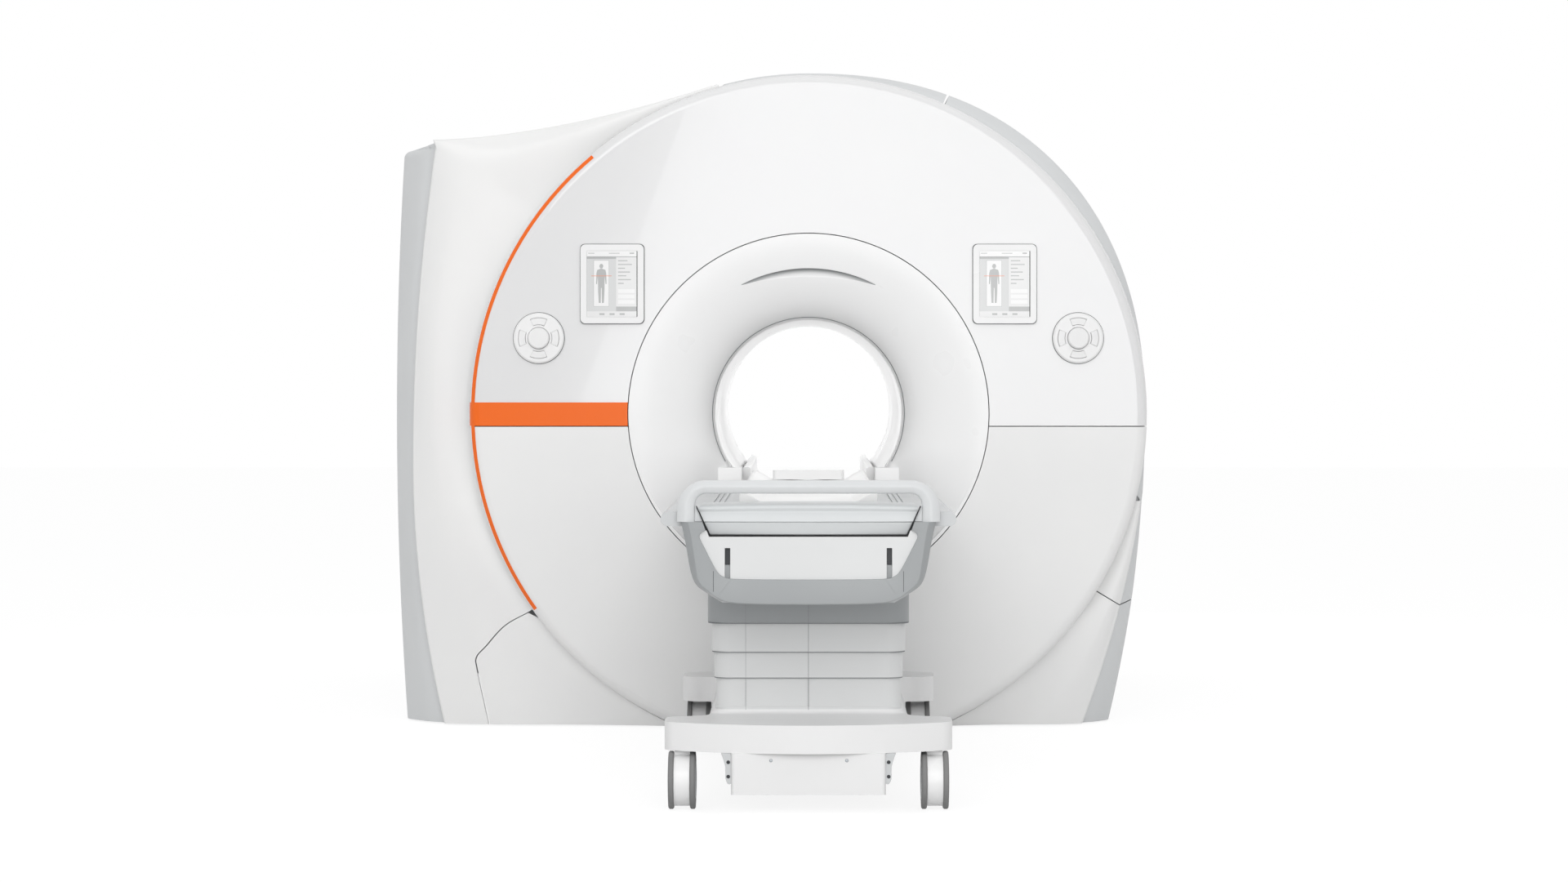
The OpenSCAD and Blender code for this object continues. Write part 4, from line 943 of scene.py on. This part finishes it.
def bolt(name, x, y, z, radius, body, material=bolt_zinc):
    """Button-head screw that faces the table end."""
    turn = np.radians(np.linspace(0, 60, 6))
    profile = [(radius * math.cos(a), y - 0.5 * radius * math.sin(a)) for a in turn]
    socket = y - 0.1 * radius
    profile += [(0.45 * radius, profile[-1][1]), (0.35 * radius, socket), (0.0, socket), (0.0, y)]
    turned(name, (x, z), profile, material, body, count=24)


def panel_slots():
    """Lining of the two slots in the end panel: dark above, grey below."""
    for side, x in (("left", -0.207), ("right", 0.207)):
        for part, low, high, front, material in (("top", 0.640, 0.6828, -3.2935, frame_black),
                                                 ("low", 0.6042, 0.6395, -3.2955, frame_grey)):
            line = box_line(x - 0.0068, x + 0.0068, low, high, 0.002)
            plate(f"painted_slot_shade_{part}_{side}", line, front, -3.2895, material, "lift_frame", edge=0.0004)


def box_brackets():
    """Folded steel brackets beside the front box, each with two dark bolts, and the screws of the box."""
    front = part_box("front_box")[0][1]
    line = rounded_line([(0.1992, 0.072), (0.208, 0.072), (0.214, 0.086), (0.214, 0.118), (0.2245, 0.1525),
                         (0.1992, 0.1525)], 0.004, 4)
    for side, sign, screw in (("left", -1, -0.0965), ("right", 1, 0.0986)):
        plate(f"box_bracket_{side}", line * (sign, 1), front + 0.012, front + 0.016, trough_grey, "trolley",
              edge=0.0006)
        for row, z in (("low", 0.092), ("high", 0.129)):
            place = sign * 0.2065, front + 0.012, z
            bolt(f"bracket_bolt_{row}_{side}", *place, 0.0048, "trolley", frame_black)
        bolt(f"box_screw_{side}", screw, front, 0.1345, 0.0045, "trolley")


def lid_edge_rib():
    """Rib on the left grey panel's top edge, up to the underside of the lid."""
    low = left_panel_loop(LEFT_TOP_Z)
    high = low.copy()
    high[:, 2] = np.interp(low[:, 0], [-1.2806, -1.219, -1.205, -1.190], [1.8517, 1.8637, 1.8697, 1.8702])
    loft("lid_edge_rib", [low, high], panel_grey, "scanner")


def hub_caps():
    """Shallow caps pressed into the outer faces of each wheel pair, with a raised axle boss."""
    profile = [(0.049, -0.002), (0.049, 0.0002), (0.047, 0.0012), (0.031, 0.0014), (0.029, 0.0005),
               (0.014, 0.0005), (0.0125, 0.0014), (0.004, 0.0016)]
    turn = np.linspace(0, 2 * math.pi, 64, endpoint=False)
    for corner in CORNERS:
        low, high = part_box(f"wheels_{corner}")
        y, z = (low[1] + high[1]) / 2, (low[2] + high[2]) / 2
        for side, face, out in (("left", low[0], -1), ("right", high[0], 1)):
            loops = [xyz(face + out * lift, y + out * r * np.cos(turn), z + r * np.sin(turn))
                     for r, lift in profile]
            loft(f"hub_cap_{corner}_{side}", loops, strip_grey, f"{corner}_wheels")


def rear_corner_closer():
    """Thin sheet closing the grey panel and the lid behind the top corner, in front of the rear cover."""
    corner = [(-1.3160, 1.800), (-1.3160, 1.829), (-1.3150, 1.8345), (-1.3113, 1.8413), (-1.3040, 1.8476),
              (-1.2930, 1.8506), (-1.2802, 1.852), (-1.2802, 1.8596), (-1.219, 1.8715), (-1.205, 1.8775),
              (-1.205, 1.862), (-1.268, 1.832), (-1.300, 1.800)]
    back = FRONT_Y + BACK_D * MM
    plate("rear_corner_closer", corner, back + 0.0001, back + 0.0017, panel_grey, "scanner", edge=0.0003)


def rear_cover_joints():
    """Joint between the halves of the rear cover, along its middle and round the rear funnel."""
    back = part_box("rear_cover")[1][1]
    ring, middle = FUNNEL_R + 0.004, AXIS_Z - 0.04

    def strip(name, path):
        path = np.array(path)
        along = np.gradient(path, axis=0)
        across = np.stack([-along[:, 1], along[:, 0]], 1) / np.linalg.norm(along, axis=1)[:, None] * 0.0013
        outline = np.concatenate([path + across, (path - across)[::-1]])
        plate(name, outline, back - 0.001, back + 0.0002, seam_and_shadow_line_grey, "scanner")

    def arc(start, stop):
        turn = np.radians(np.linspace(start, stop, 60))
        return [(ring * math.cos(a), middle + ring * math.sin(a)) for a in turn]

    ends = [[(x, middle) for x in pair] for pair in ((-1.325, -1.0), (0.9, 1.072))]
    strip("rear_cover_middle_joint", ends[0] + arc(180, 360) + ends[1])
    strip("rear_funnel_upper_joint", arc(178, 2))


def brow_shade_strip():
    """Strip in the air slot under the brow, widest in the middle, that carries the brow's painted shade."""
    inner, outer = [], []
    for a in np.radians(np.linspace(62.5, 117.5, 80)):
        taper = math.cos((a - math.pi / 2) * 180 / 56) ** 0.8
        for line, r in ((outer, BROW_R - 0.6), (inner, BROW_R - 0.6 - 23 * taper)):
            t = math.asin((MOUTH_R - r) / FLARE_R)
            depth = max(FLARE_D * (1 - math.cos(t)), BROW_D - (BROW_R - r * math.sin(a)) * BROW_SLOPE)
            line.append(np.array([r * math.cos(a), depth, r * math.sin(a)]))
    front = [np.array([o, 0.6 * o + 0.4 * i, i]) - (0, 0.5, 0) for o, i in zip(outer, inner)]
    loops = [np.concatenate([f, f[::-1] + (0, 3.0, 0)]) * MM + (0, FRONT_Y, AXIS_Z) for f in front]
    loft("brow_painted_shade_strip", loops, brow_shade_paint, "scanner")


def right_corner_backing():
    """Grey backing and white cap in the corner where the right white cover leaves the rim."""
    corner = [(1.036, 0.756), (1.060, 0.756), (1.060, 0.690), (1.036, 0.690)]
    plate("right_corner_backing", corner, FRONT_Y + 0.150, FRONT_Y + 0.156, panel_grey, "scanner", edge=0.001)
    cap = np.array([(1.037, 0.126), (1.043, 0.100), (1.050, 0.0965), (1.0535, 0.099), (1.057, 0.1235),
                    (1.0588, 0.128), (1.0588, 0.150), (1.037, 0.150)])
    top = RIGHT_START_Z * MM
    loops = [xyz(cap[:, 0], FRONT_Y + cap[:, 1], top - drop) for drop in (0.003, 0.011)]
    loft("right_corner_cap", loops, cover_white, "scanner", edge=0.001)


def flange_tip_filler():
    """Strip under the white flange's end, closing the joint between it, the rim and the lid."""
    loops = []
    for x in np.linspace(SHOULDER_X - 34, SHOULDER_X + 12, 10):
        top = AXIS_Z + top_left(x)[1] * MM - 0.0095
        section = [(0.119, top - 0.004), (0.222, top - 0.004), (0.222, top), (0.119, top)]
        loops.append([(x * MM, FRONT_Y + d, z) for d, z in section])
    loft("flange_tip_filler", np.array(loops), panel_grey, "scanner", edge=0.001)


for build in (bore_lip_seam, left_edge_gap_shade, lid_edge_rib, hub_caps, rear_corner_closer, rear_cover_joints,
              brow_shade_strip, right_corner_backing, flange_tip_filler, shroud_seams, shroud_edges, panel_slots,
              box_brackets):
    build()


# Stage: white studio with soft lamps above, high in front, behind the camera and behind the bore

scene.view_settings.view_transform = "Standard"

camera_data = bpy.data.cameras.new("photo_camera")
camera_data.lens = 83.0
camera_data.sensor_width = 36.0
camera_data.shift_x = -0.0156
camera_data.shift_y = -0.0447
camera_data.clip_end = 100.0
camera = add_object("photo_camera", camera_data)
camera.location = (0.0, -12.545, 1.136)
camera.rotation_euler = (math.radians(90), 0, 0)
scene.camera = camera


def seen_or_mirrored(tree):
    """1 for what the camera sees directly, through glass or in a gloss, 0 for light on the object."""
    rays = add_node(tree, "ShaderNodeLightPath").outputs
    through = add_node(tree, "ShaderNodeMath", {
        0: rays["Is Camera Ray"], 1: rays["Is Transmission Ray"]}, operation="MAXIMUM")
    mirrored = {0: through.outputs["Value"], 1: rays["Is Glossy Ray"]}
    return add_node(tree, "ShaderNodeMath", mirrored, operation="MAXIMUM").outputs["Value"]


world = bpy.data.worlds.new("white_room")
scene.world = world
world.use_nodes = True
tree = world.node_tree
tree.nodes.clear()
seen = seen_or_mirrored(tree)
way = add_node(tree, "ShaderNodeTexCoord").outputs["Generated"]
height = add_node(tree, "ShaderNodeSeparateXYZ", {"Vector": way})
lift = add_node(tree, "ShaderNodeMapRange", {
    "Value": height.outputs["Z"], "From Min": -0.3, "From Max": 0.9, "To Min": 0.60, "To Max": 0.64})
room = add_node(tree, "ShaderNodeBackground", {"Color": (1, 1, 1, 1), "Strength": lift.outputs["Result"]})
white = add_node(tree, "ShaderNodeBackground", {"Color": (1, 1, 1, 1), "Strength": 1.0})
shown = add_node(tree, "ShaderNodeMixShader", {
    0: seen, 1: room.outputs["Background"], 2: white.outputs["Background"]})
add_node(tree, "ShaderNodeOutputWorld", {"Surface": shown.outputs["Shader"]})


def studio_lamp(name, place, turn, size, power):
    """A rectangular soft lamp; unturned it shines down."""
    data = bpy.data.lights.new(name, "AREA")
    data.shape = "RECTANGLE"
    data.size, data.size_y = size
    data.energy = power
    lamp = add_object(name, data)
    lamp.matrix_world = Matrix.Translation(place) @ turn
    lamp.visible_camera = False


facing_bore = Matrix.Rotation(math.radians(90), 4, "X")
facing_camera = Matrix.Rotation(math.radians(-90), 4, "X")
studio_lamp("soft_top_light", (0.3, -2.6, 7.0), Matrix.Identity(4), (7, 7), 40)
# The card's slanted left edge is what the polished fascia mirrors
slant = Matrix.Rotation(math.radians(19.8), 4, "Y")
studio_lamp("front_card", (0.966, -13.4, 1.003), slant @ facing_bore, (4.6, 4.4), 170)
studio_lamp("card_behind_the_bore", (0, 4.5, 1.5), facing_camera, (3, 2.4), 20)
# High in front, so that the handle and the table throw a soft shade on the shroud below them
studio_lamp("high_softbox", (-0.6, -11.5, 5.6), Matrix.Rotation(math.radians(63), 4, "X"), (8, 5), 310)

FLOOR_REACH = 30.0
floor_mesh = bpy.data.meshes.new("studio_floor")
floor_mesh.from_pydata(
    [(x * FLOOR_REACH, y * FLOOR_REACH, 0) for x, y in ((-1, -1), (1, -1), (1, 1), (-1, 1))], [],
    [(0, 1, 2, 3)])
floor = add_object("studio_floor", floor_mesh)
floor_paper, tree = new_material("white_studio_paper")
paper = add_node(tree, "ShaderNodeBsdfDiffuse", {"Color": (0.74, 0.74, 0.74, 1)})
glow = add_node(tree, "ShaderNodeEmission", {"Color": (1, 1, 1, 1), "Strength": 1.16})
blend = add_node(tree, "ShaderNodeMath", {0: seen_or_mirrored(tree), 1: 0.75}, operation="MULTIPLY")
mixed = add_node(tree, "ShaderNodeMixShader", {
    0: blend.outputs["Value"], 1: paper.outputs["BSDF"], 2: glow.outputs["Emission"]})
add_node(tree, "ShaderNodeOutputMaterial", {"Surface": mixed.outputs["Shader"]})
floor_mesh.materials.append(floor_paper)
